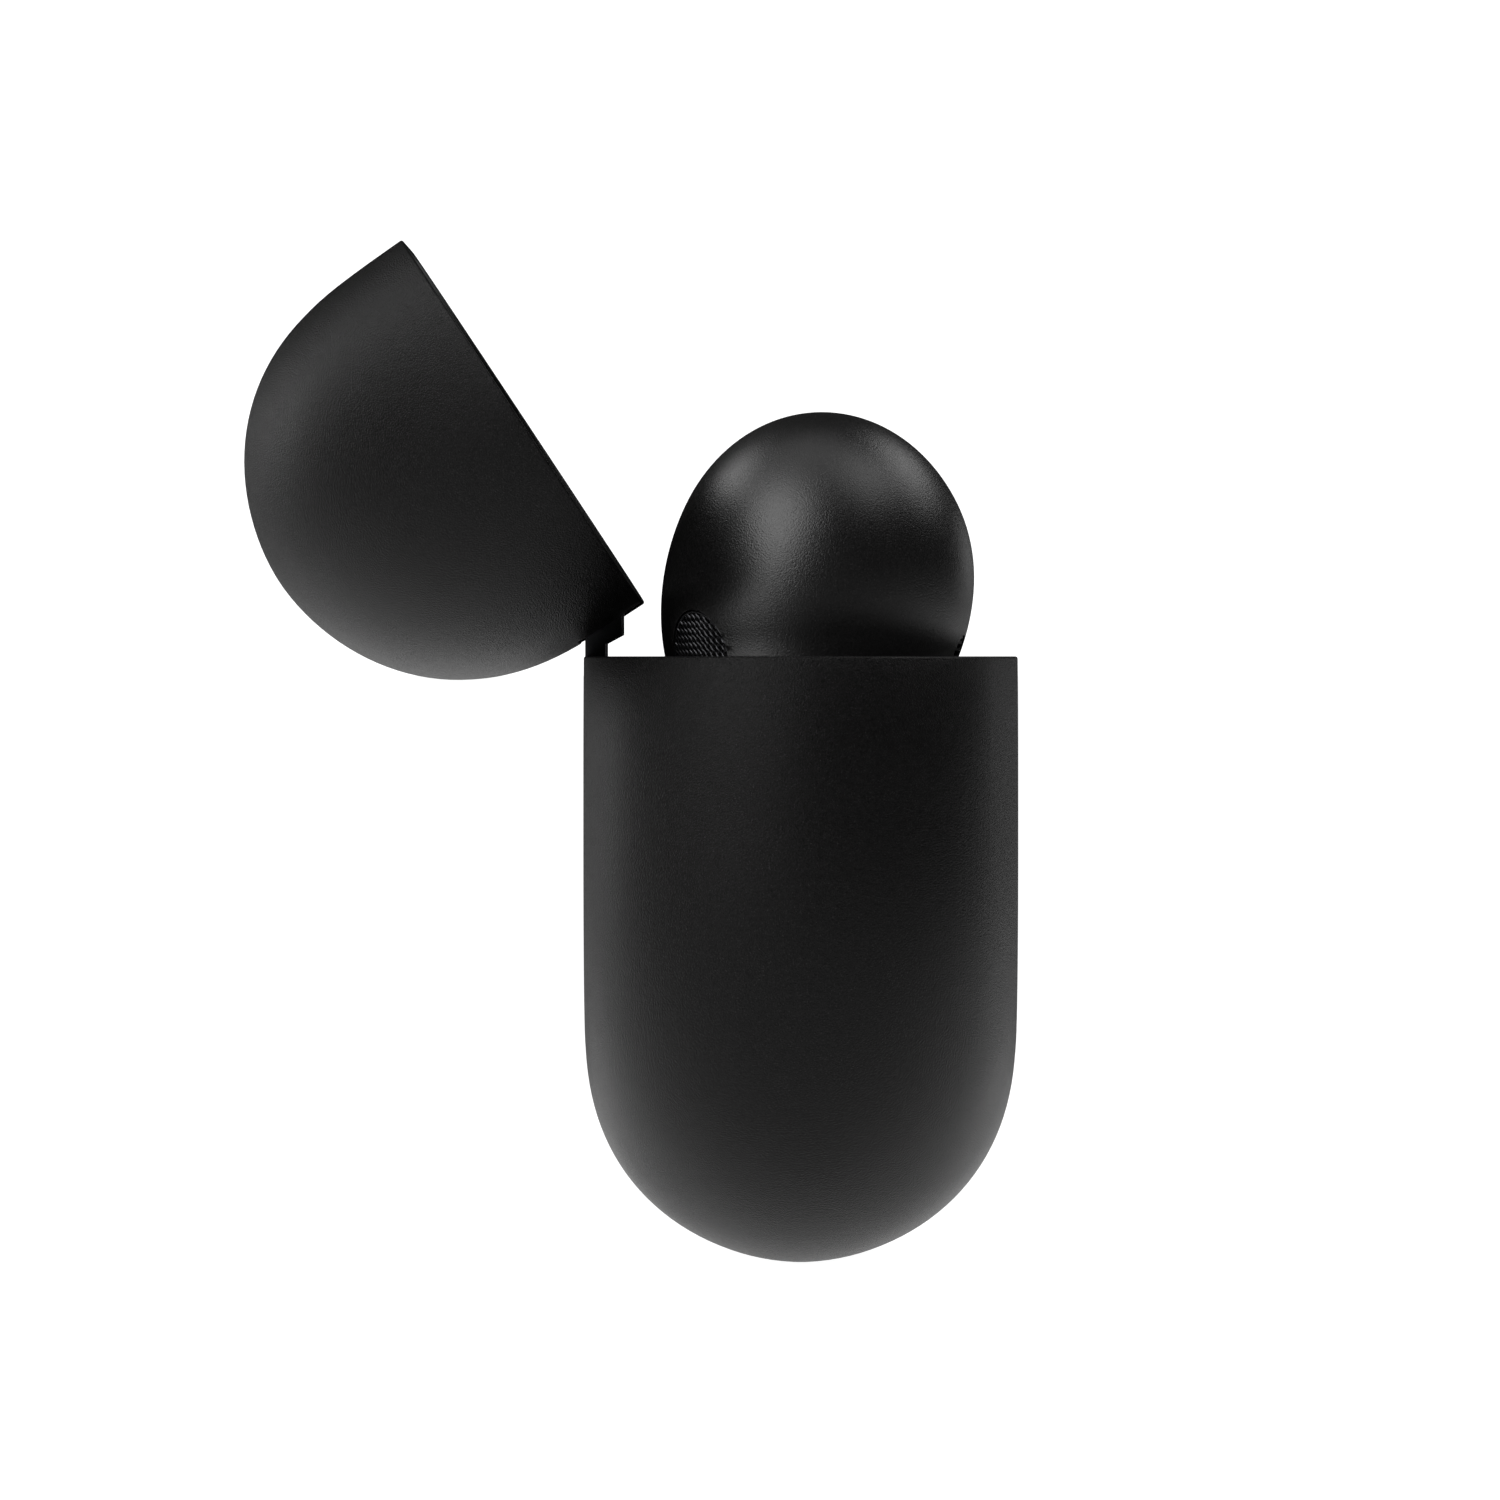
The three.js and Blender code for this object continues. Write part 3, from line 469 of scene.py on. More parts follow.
def levels(from_z, side, inset, straight_step=0.9):
    """Levels from from_z out to the pole above (side 1) or below (side -1), closest together at the pole."""
    half_height = CASE_HEIGHT / 2 - inset
    flat_end = CASE_MID_Z + side * FLAT_HALF_HEIGHT
    count = max(2, round(abs(flat_end - from_z) / straight_step))
    straight = []
    if side * (flat_end - from_z) > 0:
        straight = list(np.linspace(from_z, flat_end, count + 1)[:-1])
    curved = [CASE_MID_Z + side * (half_height + (FLAT_HALF_HEIGHT - half_height) * share)
              for share in reversed(eased(EDGE_STEPS))]
    return straight + [z for z in curved if side * (z - from_z) > -1e-6]


def pebble_part(cut_z, side, inset):
    """The closed form's solid on one side of a level."""
    rings = [level_section(z, inset) for z in levels(cut_z, side, inset)]
    return skin(rings, (True, False), 1e-4)


def shell(cut_z, side, outer, inner, edge_r):
    """A cup of the closed form between two insets, open at cut_z, with both edges of its rim rounded."""
    turn = np.linspace(0, math.pi / 2, 6)
    path = [(z, outer) for z in reversed(levels(cut_z + side * edge_r, side, outer))]
    lift = side * edge_r
    path += [(cut_z + lift * (1 - math.sin(a)), outer + edge_r * (1 - math.cos(a))) for a in turn[1:]]
    path += [(cut_z + lift * (1 - math.cos(a)), inner - edge_r * (1 - math.sin(a))) for a in turn]
    path += [(z, inner) for z in levels(cut_z + side * edge_r, side, inner)[1:]]
    return skin([level_section(z, inset) for z, inset in path], (False, False), 1e-4)


# ---- Body shell ----
def body_shell():
    bezel_margin = 2 * (GAP + BEZEL_WALL + GAP)
    made = cut(
        shell(RIM_Z, -1, 0, BODY_WALL, RIM_EDGE_R),
        block((-HINGE_NOTCH, HINGE_NOTCH), (HINGE_NOTCH_Y, FAR), (BODY_NOTCH_Z, FAR)),
        slot_bar(PORT_WIDTH + bezel_margin, PORT_DEPTH + bezel_margin, [(-FAR, 0), (4, 0)]),
        round_bar(BUTTON_R + 0.12, (0, 0, BUTTON_Z), (0, FAR, BUTTON_Z)),
        round_bar(LIGHT_R + 0.06, (0, -FAR, LIGHT_Z), (0, 0, LIGHT_Z), 32),
    )

    def near_cut(p):
        in_notch = abs(p.x) < HINGE_NOTCH + 0.1 and p.y > HINGE_NOTCH_Y - 0.1 and p.z > BODY_NOTCH_Z - 0.1
        return in_notch or p.z < 1 or p.y > BACK_Y - 0.05 or p.y < 0.05 - BACK_Y

    return round_edges(made, 0.12, near_cut, clamp=False)


place(body_shell(), "body_cover", "case", ["body_shell"], "case_shell")


# ---- Lid shell ----
def lid_shell():
    made = cut(
        shell(LID_CUT_Z, 1, 0, LID_WALL, RIM_EDGE_R),
        block((-HINGE_NOTCH, HINGE_NOTCH), (LID_NOTCH_Y, FAR), (-FAR, LID_NOTCH_Z)),
    )

    def near_cut(p):
        return abs(p.x) < HINGE_NOTCH + 0.1 and p.y > LID_NOTCH_Y and p.z < LID_NOTCH_Z + 0.1

    return round_edges(made, 0.12, near_cut, clamp=False)


place(lid_shell(), "lid_cover", "lid", ["lid_shell"], "case_shell", moved=OPENED)


# ---- Lid liner ----
LINER_INSET = LID_WALL + GAP
LINER_START_Z = 30.33
CUP_HALF_WIDTH, FLANGE_THICKNESS = 19.4, 0.8
RIDGE_HALF_WIDTH, RIDGE_HOLLOW_R, RIDGE_HOLLOW_Z = 1.8, 11.5, 28


def lid_liner():
    def between(half_width, z):
        return block((-half_width, half_width), (-FAR, FAR), z)

    outer = pebble_part(LINER_START_Z, 1, LINER_INSET)
    hollow = common(
        pebble_part(LINER_START_Z - 1, 1, LINER_INSET + LINER_WALL),
        between(CUP_HALF_WIDTH - LINER_WALL, (-FAR, FAR)),
    )
    ridge = cut(
        common(copy(outer), between(RIDGE_HALF_WIDTH, (0, FAR))),
        round_bar(RIDGE_HOLLOW_R, (-FAR, 0, RIDGE_HOLLOW_Z), (FAR, 0, RIDGE_HOLLOW_Z), 128),
    )
    flange = common(copy(outer), between(FAR, (0, LINER_START_Z + FLANGE_THICKNESS)))
    cup = common(outer, between(CUP_HALF_WIDTH, (0, FAR)))
    made = cut(
        join(cut(join(cup, flange), hollow), ridge),
        block((-HINGE_NOTCH, HINGE_NOTCH), (LID_NOTCH_Y, FAR), (-FAR, LEAF_Z[1] + GAP)),
    )
    return melt_edges(made, 0.2, 5)


place(lid_liner(), "lid_inner_cover", "lid", ["lid_liner"], "inner_plastic", moved=OPENED, smooth_angle=60)


# ---- The form of an earbud, on the -X side ----
def smoothstep(value, low, high):
    share = min(1, max(0, (value - low) / (high - low)))
    return share * share * (3 - 2 * share)


def bud_section(z, grow=0):
    """Middle and radii of the earbud's level section, with its surface moved out by grow."""
    fall = min(1, max(0, (HEAD_Z - z) / HEAD_DROP))
    narrowing = math.sqrt(1 - fall * fall)

    def blend(head, stem):
        return ((head * narrowing) ** NECK_POWER + stem ** NECK_POWER) ** (1 / NECK_POWER)

    shift = smoothstep(SHIFT_TOP_Z - z, 0, SHIFT_TOP_Z - SHIFT_END_Z)
    lean = smoothstep(LEAN_TOP_Z - z, 0, LEAN_TOP_Z - LEAN_END_Z)
    return (
        -(HEAD_X + (STEM_X - HEAD_X) * shift),
        HEAD_Y + (STEM_Y - HEAD_Y) * lean,
        blend(HEAD_RX, STEM_RX) + grow,
        blend(HEAD_RY, STEM_RY) + grow,
    )


def bud_ring(z, narrowing, level, grow, sides):
    x, y, rx, ry = bud_section(level, grow)
    turns = np.linspace(0, 2 * np.pi, sides, endpoint=False)
    return [(x + rx * narrowing * math.cos(a), y + ry * narrowing * math.sin(a), z) for a in turns]


def bud_form(grow, sides=112, neck_rings=40, crown_rings=34, edge_r=0.35):
    """The earbud's whole form; the edge round its stem's end is rounded."""
    end_z = STEM_END_Z - grow
    rings = []
    for a in np.linspace(0, math.pi / 2, 6):
        x, y, rx, ry = bud_section(STEM_END_Z, grow)
        inset = edge_r * (1 - math.sin(a))
        turns = np.linspace(0, 2 * np.pi, sides, endpoint=False)
        z = end_z + edge_r * (1 - math.cos(a))
        rings.append([(x + (rx - inset) * math.cos(t), y + (ry - inset) * math.sin(t), z) for t in turns])
    stem_levels = list(np.linspace(STEM_END_Z + 0.8, LEAN_END_Z, 10))
    neck_levels = list(np.linspace(LEAN_END_Z, HEAD_Z, neck_rings + 1)[1:])
    rings += [bud_ring(z, 1, z, grow, sides) for z in stem_levels + neck_levels]
    for step in range(1, crown_rings):
        angle = step / crown_rings * math.pi / 2
        z = HEAD_Z + (HEAD_RISE + grow) * math.sin(angle)
        rings.append(bud_ring(z, math.cos(angle), z, grow, sides))
    top_z = HEAD_Z + HEAD_RISE + grow
    rings.append(bud_ring(top_z, 0.0005, top_z, grow, sides))
    return skin(rings)


def probe_axes(turn):
    """Unit vectors out of the head and across it, turned from -X towards +Y."""
    return np.array([-math.cos(turn), math.sin(turn), 0]), np.array([math.sin(turn), math.cos(turn), 0])


def oval_probe(half_width, half_height, turn, z, sides=64):
    out, across = probe_axes(turn)
    middle = np.array([-HEAD_X, HEAD_Y, z])
    up = np.array([0, 0, 1])
    turns = np.linspace(0, 2 * np.pi, sides, endpoint=False)
    oval = [middle + across * (half_width * math.cos(a)) + up * (half_height * math.sin(a)) for a in turns]
    return skin([[point + out * reach for point in oval] for reach in (0, 2 * HEAD_RX)])


def on_head(across_by, z, turn, grow):
    """The point of the head's surface, moved out by grow, that a probe meets at a distance across it."""
    out, across = probe_axes(turn)
    x, y, rx, ry = bud_section(z, grow)
    if z > HEAD_Z:
        narrowing = math.sqrt(max(0, 1 - ((z - HEAD_Z) / (HEAD_RISE + grow)) ** 2))
        rx, ry = rx * narrowing, ry * narrowing
    start = np.array([-HEAD_X, HEAD_Y]) + across[:2] * across_by - np.array([x, y])
    a = (out[0] / rx) ** 2 + (out[1] / ry) ** 2
    b = 2 * (start[0] * out[0] / rx ** 2 + start[1] * out[1] / ry ** 2)
    c = (start[0] / rx) ** 2 + (start[1] / ry) ** 2 - 1
    reach = (-b + math.sqrt(b * b - 4 * a * c)) / (2 * a)
    flat = start + np.array([x, y]) + out[:2] * reach
    return np.array([flat[0], flat[1], z])


def tube(path, radius, sides, closed=False):
    """A round tube along points, with flat ends, or closed on itself; returns its points and faces."""
    count = len(path)
    points, faces = [], []
    for i, middle in enumerate(path):
        before = path[i - 1] if closed else path[max(0, i - 1)]
        after = path[(i + 1) % count] if closed else path[min(count - 1, i + 1)]
        along = (after - before) / np.linalg.norm(after - before)
        side = np.cross(along, [0.3, 0.2, 0.93])
        side /= np.linalg.norm(side)
        other = np.cross(along, side)
        for a in np.linspace(0, 2 * np.pi, sides, endpoint=False):
            points.append(middle + radius * (side * math.cos(a) + other * math.sin(a)))
    for i in range(count if closed else count - 1):
        for k in range(sides):
            a, b = i * sides + k, i * sides + (k + 1) % sides
            c, d = (i + 1) % count * sides + (k + 1) % sides, (i + 1) % count * sides + k
            faces.append((a, b, c, d))
    if not closed:
        faces += [tuple(range(sides))[::-1], tuple(range(len(points) - sides, len(points)))]
    return points, faces


WIRE_PITCH, WIRE_R, WIRE_LIFT, UPPER_WIRE_LIFT = 0.25, 0.05, 0.025, 0.035
WEAVE_DEPTH, BACKING_DEPTH = 0.16, (0.36, 0.55)


def woven_patch(halves, turn, level):
    """Woven wire that follows the head, in a rim, on a dark backing: one piece with two materials."""
    half_width, half_height = (half + GAP - 0.1 for half in halves)
    points, faces = [], []

    def add(more):
        start = len(points)
        points.extend(more[0])
        faces.extend(tuple(start + i for i in face) for face in more[1])

    reach = half_width + half_height
    lines = int(reach / WIRE_PITCH)
    steps = int(4 * reach / WIRE_PITCH)
    for direction in (1, -1):
        along = np.array([1, -direction]) / math.sqrt(2)
        over = np.array([direction, 1]) / math.sqrt(2)
        for line in range(-lines, lines + 1):
            path = []
            for step in range(-steps, steps + 1):
                u, v = along * (step * WIRE_PITCH / 2) + over * (line * WIRE_PITCH)
                if (u / half_width) ** 2 + (v / half_height) ** 2 > 0.97:
                    continue
                wave = WIRE_LIFT * math.cos(math.pi * (step / 2 + line))
                lift = direction * (wave - UPPER_WIRE_LIFT)
                path.append(on_head(u, level + v, turn, lift - WEAVE_DEPTH))
            if len(path) > 2:
                add(tube(path, WIRE_R, 6))
    rim = [
        on_head(half_width * math.cos(a), level + half_height * math.sin(a), turn, -WEAVE_DEPTH)
        for a in np.linspace(0, 2 * np.pi, 72, endpoint=False)
    ]
    add(tube(rim, 0.1, 8, closed=True))
    weave = form(points, faces)
    weave.data.materials.append(MESH_WIRE)
    backing = common(
        cut(bud_form(-BACKING_DEPTH[0]), bud_form(-BACKING_DEPTH[1])),
        oval_probe(half_width, half_height, turn, level),
    )
    backing.data.materials.clear()
    backing.data.materials.append(MESH_BACKING)
    merged = bmesh.new()
    merged.from_mesh(weave.data)
    weave_faces = len(merged.faces)
    merged.from_mesh(backing.data)
    merged.faces.ensure_lookup_table()
    for face in merged.faces[weave_faces:]:
        face.material_index = 1
    merged.to_mesh(weave.data)
    merged.free()
    weave.data.materials.append(MESH_BACKING)
    bpy.data.objects.remove(backing)
    return weave


def mesh_hole(halves, turn, level):
    return oval_probe(halves[0] + GAP, halves[1] + GAP, turn, level)


def earbud_pieces():
    """Each form of an earbud, with the CAD piece that it stands for and its slot."""

    def near_hole(p):
        return p.x < -HEAD_X + HEAD_RX

    wall = cut(bud_form(0), bud_form(-BUD_WALL), below(STEM_CAP_Z + PARTING / 2))
    outer = cut(
        copy(wall),
        block((PARTING / 2 - BUD_PARTING_X - PARTING, FAR), (-FAR, FAR), (-FAR, FAR)),
        mesh_hole(*VENT),
        mesh_hole(*BASS_SLOT),
    )
    inner = cut(
        wall,
        block((-FAR, PARTING / 2 - BUD_PARTING_X), (-FAR, FAR), (-FAR, FAR)),
        mesh_hole(*SPEAKER),
    )
    cap = cut(
        common(bud_form(0), below(STEM_CAP_Z - PARTING / 2)),
        round_bar(0.35, (-STEM_X, STEM_Y, 0), (-STEM_X, STEM_Y, STEM_CAP_Z)),
    )
    return {
        "outer_housing": (round_edges(outer, 0.05, near_hole, 2), "earbud_shell"),
        "inner_housing": (round_edges(inner, 0.05, near_hole, 2), "earbud_shell"),
        "stem_cap": (round_edges(cap, 0.05, near_hole, 2), "stem_metal"),
        "vent_mesh": (woven_patch(*VENT), "metal_mesh"),
        "bass_slot_mesh": (woven_patch(*BASS_SLOT), "metal_mesh"),
        "speaker_mesh": (woven_patch(*SPEAKER), "metal_mesh"),
    }


SIDES = (("left", CLOSED), ("right", MIRROR_X))
for part, (made, slot) in earbud_pieces().items():
    for side, moved in SIDES:
        place(copy(made), f"{side}_{part}_fine", f"{side}_earbud", [f"{side}_{part}"], slot, moved=moved)
    bpy.data.objects.remove(made)


# ---- Tray ----
def well_form(flare):
    """What an earbud needs clear; near the deck it widens by flare, which rounds the well's edge."""
    sides = 96
    rings = [bud_ring(z, 1, z, WELL_CLEARANCE, sides)
             for z in np.linspace(STEM_END_Z - WELL_CLEARANCE, LEAN_END_Z, 8)[:-1]]
    rings += [bud_ring(z, 1, z, WELL_CLEARANCE, sides)
              for z in np.linspace(LEAN_END_Z, DECK_TOP_Z - flare, 26)]
    for a in np.linspace(0, math.pi / 2, 7)[1:]:
        z = DECK_TOP_Z - flare + flare * math.sin(a)
        rings.append(bud_ring(z, 1, z, WELL_CLEARANCE + flare * (1 - math.cos(a)), sides))
    rings.append(bud_ring(DECK_TOP_Z + 1, 1, DECK_TOP_Z, WELL_CLEARANCE + flare, sides))
    return skin(rings)


def tray():
    deck = skin([level_section(z, BODY_WALL + GAP) for z in (DECK_TOP_Z - DECK_THICKNESS, DECK_TOP_Z)])
    cup = cut(
        bud_form(WELL_CLEARANCE + WELL_WALL, 64, 16, 4),
        block((-FAR, FAR), (-FAR, FAR), (DECK_TOP_Z, FAR)),
    )
    boss = block((BOSS_X - 1.6, BOSS_X + 1.6), (5.9, 8.05), (24.7, DECK_TOP_Z - 0.2))
    screw_hole = round_bar(0.8, (BOSS_X, 6.2, BRACKET_SCREW_Z), (BOSS_X, FAR, BRACKET_SCREW_Z), 32)
    slots = [
        block((x - 0.7, x + 0.7), (STEM_Y - 0.6, STEM_Y + 0.6), (9, 12))
        for x in (side * STEM_X + share * 2.4 for side in (-1, 1) for share in (-0.5, 0.5))
    ]
    well = well_form(0.45)
    return cut(
        join(deck, copy(cup, MIRROR_X), cup, copy(boss, MIRROR_X), boss),
        block((-HINGE_NOTCH, HINGE_NOTCH), (8.05, FAR), (-FAR, FAR)),
        copy(well, MIRROR_X),
        well,
        copy(screw_hole, MIRROR_X),
        screw_hole,
        *slots,
    )


place(tray(), "earbud_tray_fine", "case", ["earbud_tray"], "inner_plastic")


# ---- Hinge ----
BODY_KNUCKLES = ((-HINGE_HALF_WIDTH, -7), (-2.5, 2.5), (7, HINGE_HALF_WIDTH))
LID_KNUCKLES = ((-6.7, -2.8), (2.8, 6.7))
SPRING_RECESS_Y = 10.27


def hinge_bracket():
    strip_profile = [
        (10.8, 28.9), (10.8, 31), (9.82, 31), (9.82, 29.4),
        (8.35, 29.4), (8.35, 24.6), (8.85, 24.6), (8.85, 28.9),
    ]
    block_profile = [
        (10.8, 30), (10.8, 33.3), (9.3, 33.3), (8.99, 32.99),
        (8.99, 30.91), (9.82, 30.46), (9.82, 30),
    ]
    strip = profile_x(strip_profile, (-HINGE_HALF_WIDTH, HINGE_HALF_WIDTH))
    knuckles = [profile_x(block_profile, span) for span in BODY_KNUCKLES]
    holes = [
        round_bar(0.8, (side * BOSS_X, 7, BRACKET_SCREW_Z), (side * BOSS_X, 10, BRACKET_SCREW_Z), 32)
        for side in (-1, 1)
    ]
    spring_recesses = [block(span, (8.85, SPRING_RECESS_Y), (29.4, FAR)) for span in LID_KNUCKLES]
    made = cut(join(strip, *knuckles), pin_hole(), *holes, *spring_recesses)
    return round_edges(made, 0.09)


def hinge_leaf():
    plate = block((-HINGE_HALF_WIDTH, HINGE_HALF_WIDTH), LEAF_Y, LEAF_Z)
    arm_profile = [(9.6, 32.1), (10.45, 32.45), (9.35, 33.7), (8.95, 34.3), (8.35, 34.3), (8.35, 33.9)]
    arms = []
    for span in LID_KNUCKLES:
        arms.append(profile_x(arm_profile, span))
        arms.append(round_bar(KNUCKLE_R, (span[0], HINGE.y, HINGE.z), (span[1], HINGE.y, HINGE.z), 40))
    holes = [
        round_bar(0.8, (side * LEAF_SCREW_X, 7, LEAF_SCREW_Z), (side * LEAF_SCREW_X, 10, LEAF_SCREW_Z), 32)
        for side in (-1, 1)
    ]
    return round_edges(cut(join(plate, *arms), pin_hole(), *holes), 0.07)


place(hinge_bracket(), "hinge_bracket_fine", "case", ["hinge_bracket"], "hinge_metal")
place(hinge_leaf(), "hinge_leaf_fine", "lid", ["hinge_leaf"], "hinge_metal", moved=OPENED)
PIN_END_X = HINGE_HALF_WIDTH - 0.2
pin = round_bar(PIN_R, (-PIN_END_X, HINGE.y, HINGE.z), (PIN_END_X, HINGE.y, HINGE.z), 32, 0.08)
place(pin, "hinge_pin_fine", "case", ["hinge_pin"], "steel")


SCREW_R, SCREW_HEAD_R, THREAD_ROOT_R, THREAD_PITCH = 0.5, 1.15, 0.4, 0.3


def screw(x, head_y, tip_y, z):
    """A small cross-head screw along Y with a domed head and a shaped thread."""
    towards = math.copysign(1, tip_y - head_y)
    rise_angles = np.linspace(0.02, math.pi / 2, 8)
    dome = [(SCREW_HEAD_R * math.sin(a), head_y + towards * 0.22 * (1 - math.cos(a))) for a in rise_angles]
    profile = dome + [(SCREW_HEAD_R, head_y + towards * 0.4), (SCREW_R, head_y + towards * 0.4)]
    turns_of_thread = int((abs(tip_y - head_y) - 0.8) / THREAD_PITCH)
    for turn in range(turns_of_thread):
        y = head_y + towards * (0.5 + THREAD_PITCH * turn)
        profile += [(SCREW_R, y), (THREAD_ROOT_R, y + towards * THREAD_PITCH / 2)]
    profile += [(SCREW_R, tip_y - towards * 0.2), (0.15, tip_y)]
    head = lathe_y(profile, x, z, 32)
    bars = [
        block((x - a, x + a), sorted((head_y - towards, head_y + towards * 0.25)), (z - b, z + b))
        for a, b in ((0.13, 0.62), (0.62, 0.13))
    ]
    return cut(head, *bars)


for side, name in ((-1, "left"), (1, "right")):
    place(screw(side * BOSS_X, 9.35, 6.6, BRACKET_SCREW_Z), f"bracket_screw_{name}_fine", "case",
          [f"bracket_screw_{name}"], "steel")
    place(screw(side * LEAF_SCREW_X, 7.85, 9.3, LEAF_SCREW_Z), f"leaf_screw_{name}_fine", "lid",
          [f"leaf_screw_{name}"], "steel", moved=OPENED)


# ---- Button, light and charge connector ----
def setup_button():
    face_y = BACK_Y - FACE_INSET
    edge = [(BUTTON_R - 0.25 + 0.25 * math.cos(a), face_y - 0.25 + 0.25 * math.sin(a))
            for a in np.linspace(0, math.pi / 2, 7)]
    dish_r = BUTTON_R - 0.3
    dish = [(r, face_y - 0.12 * (1 - (r / dish_r) ** 2)) for r in np.linspace(dish_r, 0.01, 9)]
    flange = [(BUTTON_R + 0.8, 8.8), (BUTTON_R + 0.8, 9.35), (BUTTON_R, 9.35)]
    return lathe_y(flange + edge + dish, 0, BUTTON_Z)


def light_lens_form():
    face_y = FACE_INSET - BACK_Y
    dome = [(LIGHT_R * math.cos(a), face_y + 0.1 - 0.1 * math.sin(a))
            for a in np.linspace(0, math.pi / 2 - 0.02, 7)]
    flange = [(2 * LIGHT_R, -8.8), (2 * LIGHT_R, -9.35), (LIGHT_R, -9.35)]
    return lathe_y(flange + dome, 0, LIGHT_Z, 48)


place(setup_button(), "setup_button_fine", "setup_button", ["setup_button"], "case_shell")
place(light_lens_form(), "status_light_lens_fine", "case", ["status_light_lens"], "light_lens")


def port_bezel():
    margin = 2 * (GAP + BEZEL_WALL)
    outer = slot_bar(PORT_WIDTH + margin, PORT_DEPTH + margin, [(-0.45, 0), (1.6, 0)])
    inner = slot_bar(PORT_WIDTH + 2 * GAP, PORT_DEPTH + 2 * GAP, [(-3, 0), (3, 0)])
    return round_edges(cut(outer, inner), 0.12, lambda p: p.z < 0)


def port_shell():
    outer = slot_bar(PORT_WIDTH, PORT_DEPTH, [(-0.35, 0), (7, 0)])
    inner = slot_bar(PORT_WIDTH - 2 * PORT_WALL, PORT_DEPTH - 2 * PORT_WALL, [(-3, 0), (6.5, 0)])
    return round_edges(cut(outer, inner), 0.1, lambda p: p.z < 0)


place(port_bezel(), "port_bezel_fine", "case", ["port_bezel"], "hinge_metal")
place(port_shell(), "port_shell_fine", "case", ["port_shell"], "steel")
tongue = round_edges(block((-3.35, 3.35), (-0.35, 0.35), (0, 6.2)), 0.1)
place(tongue, "port_tongue_fine", "case", ["port_tongue"], "component_plastic")


# ---- CAD pieces that stay: their slots' materials, and softly rounded edges ----
slots = {part["node"]: part["material_slot"] for part in frame["record"]["subparts"]}
for name, node in frame["nodes"].items():
    node.data.materials.clear()
    node.data.materials.append(SLOT_MATERIALS[slots[name]])
    if not node.hide_render:
        edges = node.modifiers.new("edges", "BEVEL")
        edges.width, edges.segments, edges.limit_method = 0.06 * MM, 2, "ANGLE"
        edges.angle_limit = math.radians(40)

# ---- Stage: a pale floor, soft light and the camera ----
FLOOR_DROP = 0.05 * MM
FLOOR_GLOW, FLOOR_PATCH = 0.85, (0.06, 0.24)
WORLD_LIGHT, WORLD_GLOSS = 0.3, 0.02


def strength_by_ray(tree, kind, other, chosen):
    """A strength that takes one value or source for one kind of ray, and the other for the rest."""
    path = tree.nodes.new("ShaderNodeLightPath")
    strength = tree.nodes.new("ShaderNodeMapRange")
    tree.links.new(path.outputs[kind], strength.inputs["Value"])
    for socket, value in (("To Min", other), ("To Max", chosen)):
        if isinstance(value, (int, float)):
            strength.inputs[socket].default_value = value
        else:
            tree.links.new(value, strength.inputs[socket])
    return strength.outputs["Result"]


def floor():
    """A pale floor, lit from within, whose light on the object comes from the patch round it."""
    turns = np.linspace(0, 2 * np.pi, 96, endpoint=False)
    rings = [[(r * math.cos(a), r * math.sin(a), 0) for a in turns] for r in (0.05, 40)]
    made = form([p for ring in rings for p in ring],
                [tuple(range(96))] + [(i, (i + 1) % 96, 96 + (i + 1) % 96, 96 + i) for i in range(96)])
    made.name = "floor"
    made.location.z = cad_low.z - FLOOR_DROP
    surface = Finish("floor", (0.15, 0.15, 0.15), 0.9, **{"Emission Color": (1, 1, 1, 1)})
    surface.link(surface.mix(surface.noise(300, 2), (0.14, 0.14, 0.14), (0.16, 0.16, 0.16)), "Base Color")
    reach = surface.add("ShaderNodeVectorMath", {}, [("Vector", surface.place)])
    reach.operation = "LENGTH"
    patch = surface.map(reach.outputs["Value"], FLOOR_GLOW, 0.03, *FLOOR_PATCH)
    surface.link(strength_by_ray(surface.tree, "Is Camera Ray", patch, 1), "Emission Strength")
    made.data.materials.append(surface.material)


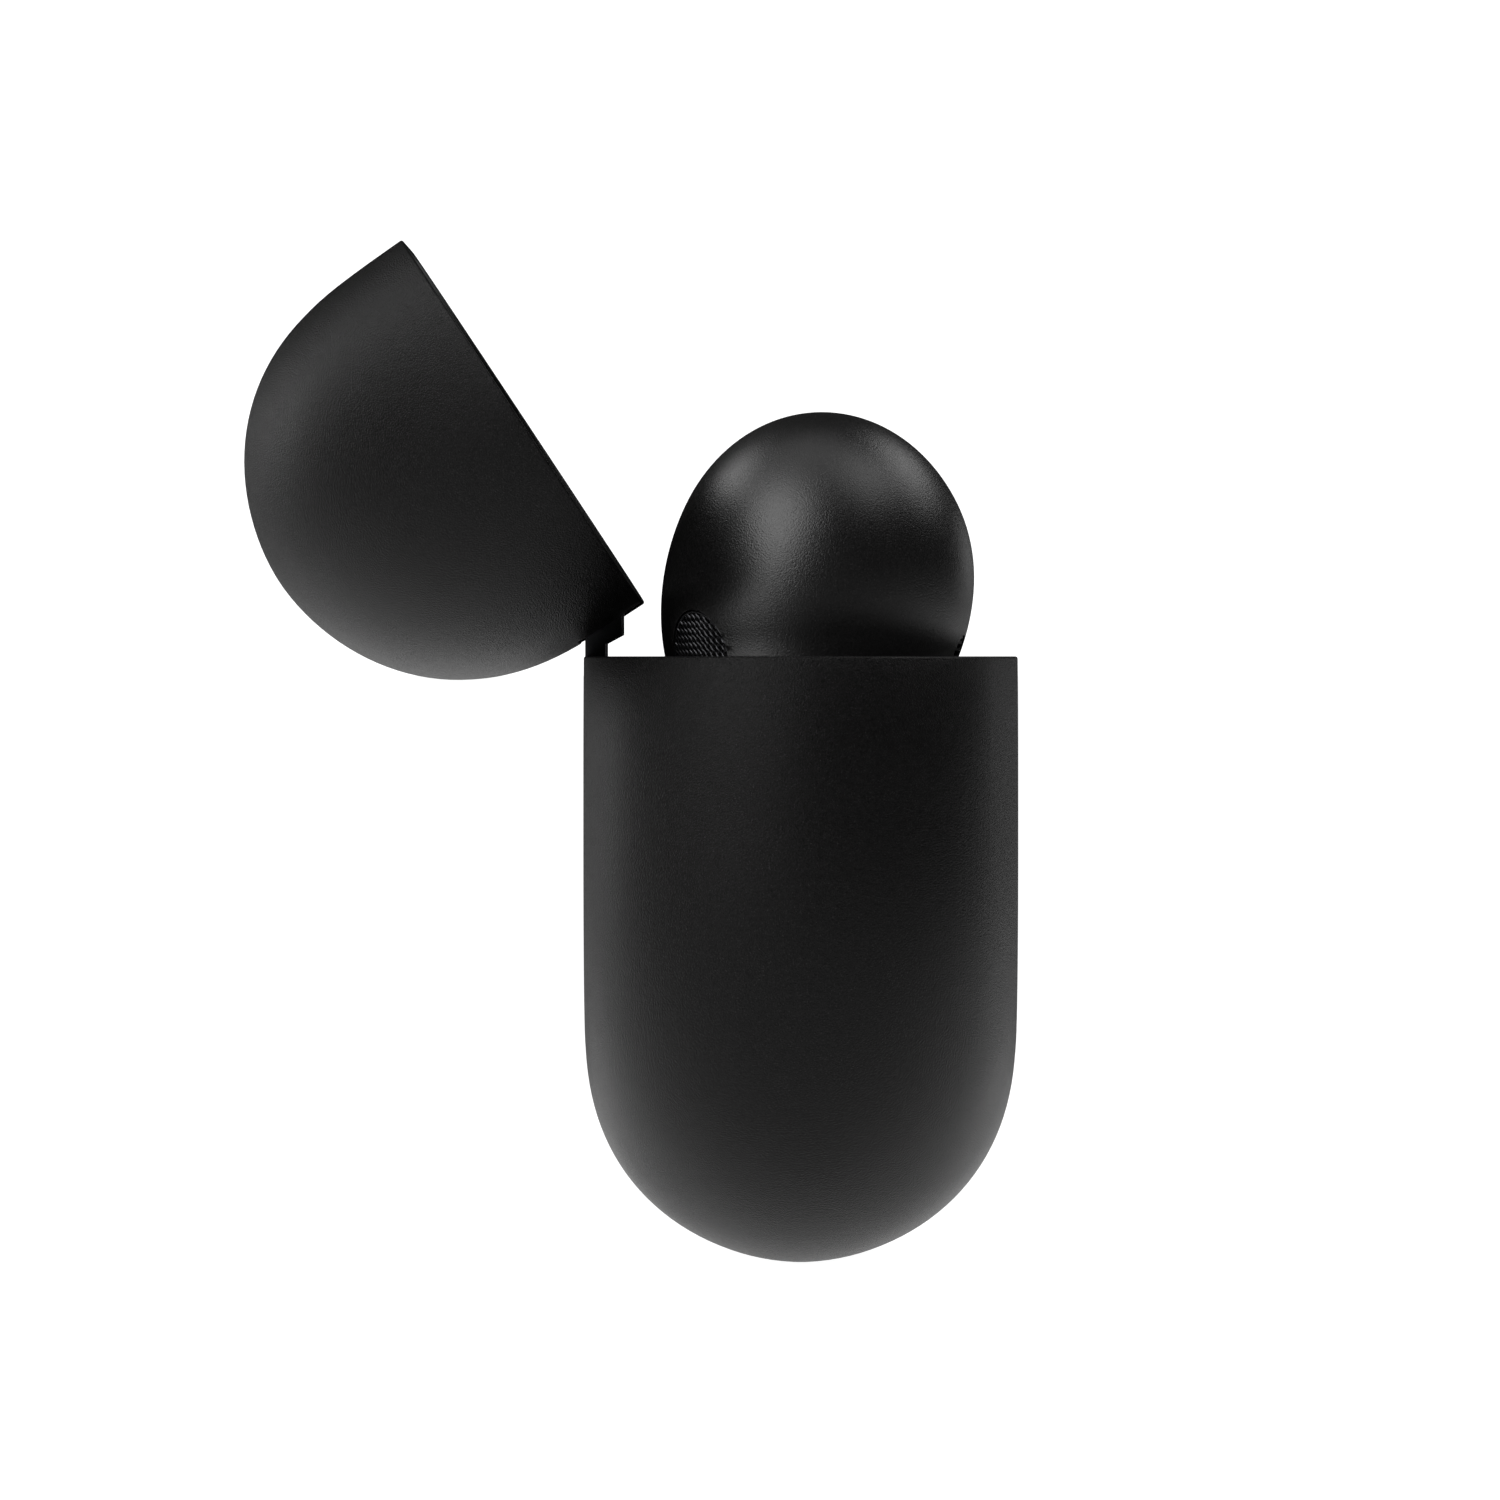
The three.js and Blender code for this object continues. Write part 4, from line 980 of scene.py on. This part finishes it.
def soft_light(name, azimuth, elevation, width, height, radiance, distance=1.0):
    """A soft box that faces the middle of the object, out of the camera's sight."""
    data = bpy.data.lights.new(name, "AREA")
    data.shape, data.size, data.size_y = "RECTANGLE", width, height
    data.energy = radiance * math.pi * width * height
    made = bpy.data.objects.new(name, data)
    turn, lift = math.radians(azimuth), math.radians(elevation)
    outward = Vector((math.cos(turn) * math.cos(lift), math.sin(turn) * math.cos(lift), math.sin(lift)))
    made.location = outward * distance + Vector((0, 0, 0.025))
    made.rotation_euler = outward.to_track_quat("Z", "Y").to_euler()
    made.visible_camera = False
    bpy.context.scene.collection.objects.link(made)


def world():
    made = bpy.data.worlds.new("world")
    made.use_nodes = True
    background = made.node_tree.nodes["Background"]
    background.inputs["Color"].default_value = (1, 1, 1, 1)
    lit = strength_by_ray(made.node_tree, "Is Camera Ray", WORLD_LIGHT, 1.3)
    strength = strength_by_ray(made.node_tree, "Is Glossy Ray", lit, WORLD_GLOSS)
    made.node_tree.links.new(strength, background.inputs["Strength"])
    bpy.context.scene.world = made


def camera():
    data = bpy.data.cameras.new("camera")
    data.sensor_width, data.lens, data.clip_end = 36, 500, 100
    made = bpy.data.objects.new("camera", data)
    made.location = (-1.0549, 0.00144, 0.02961)
    aim = Vector((0, 0.00255, 0.02508))
    made.rotation_euler = (aim - made.location).to_track_quat("-Z", "Y").to_euler()
    bpy.context.scene.collection.objects.link(made)
    bpy.context.scene.camera = made


floor()
world()
soft_light("key", 137, 38, 0.75, 0.8, 4.6)
soft_light("key_low", 129, 8, 0.58, 0.36, 3.4)
soft_light("hinge_side", 66, 36, 0.6, 0.55, 3.2)
soft_light("far_left", 42, 6, 0.5, 0.25, 1.5)
soft_light("far_right", 325, 5, 0.4, 0.2, 0.7)
soft_light("right", 305, 42, 0.6, 0.4, 2.4)
soft_light("near_top", 250, 62, 0.5, 0.5, 2.4)
soft_light("top", 90, 82, 0.7, 0.7, 0.9)
camera()
bpy.context.scene.view_settings.view_transform = "Standard"
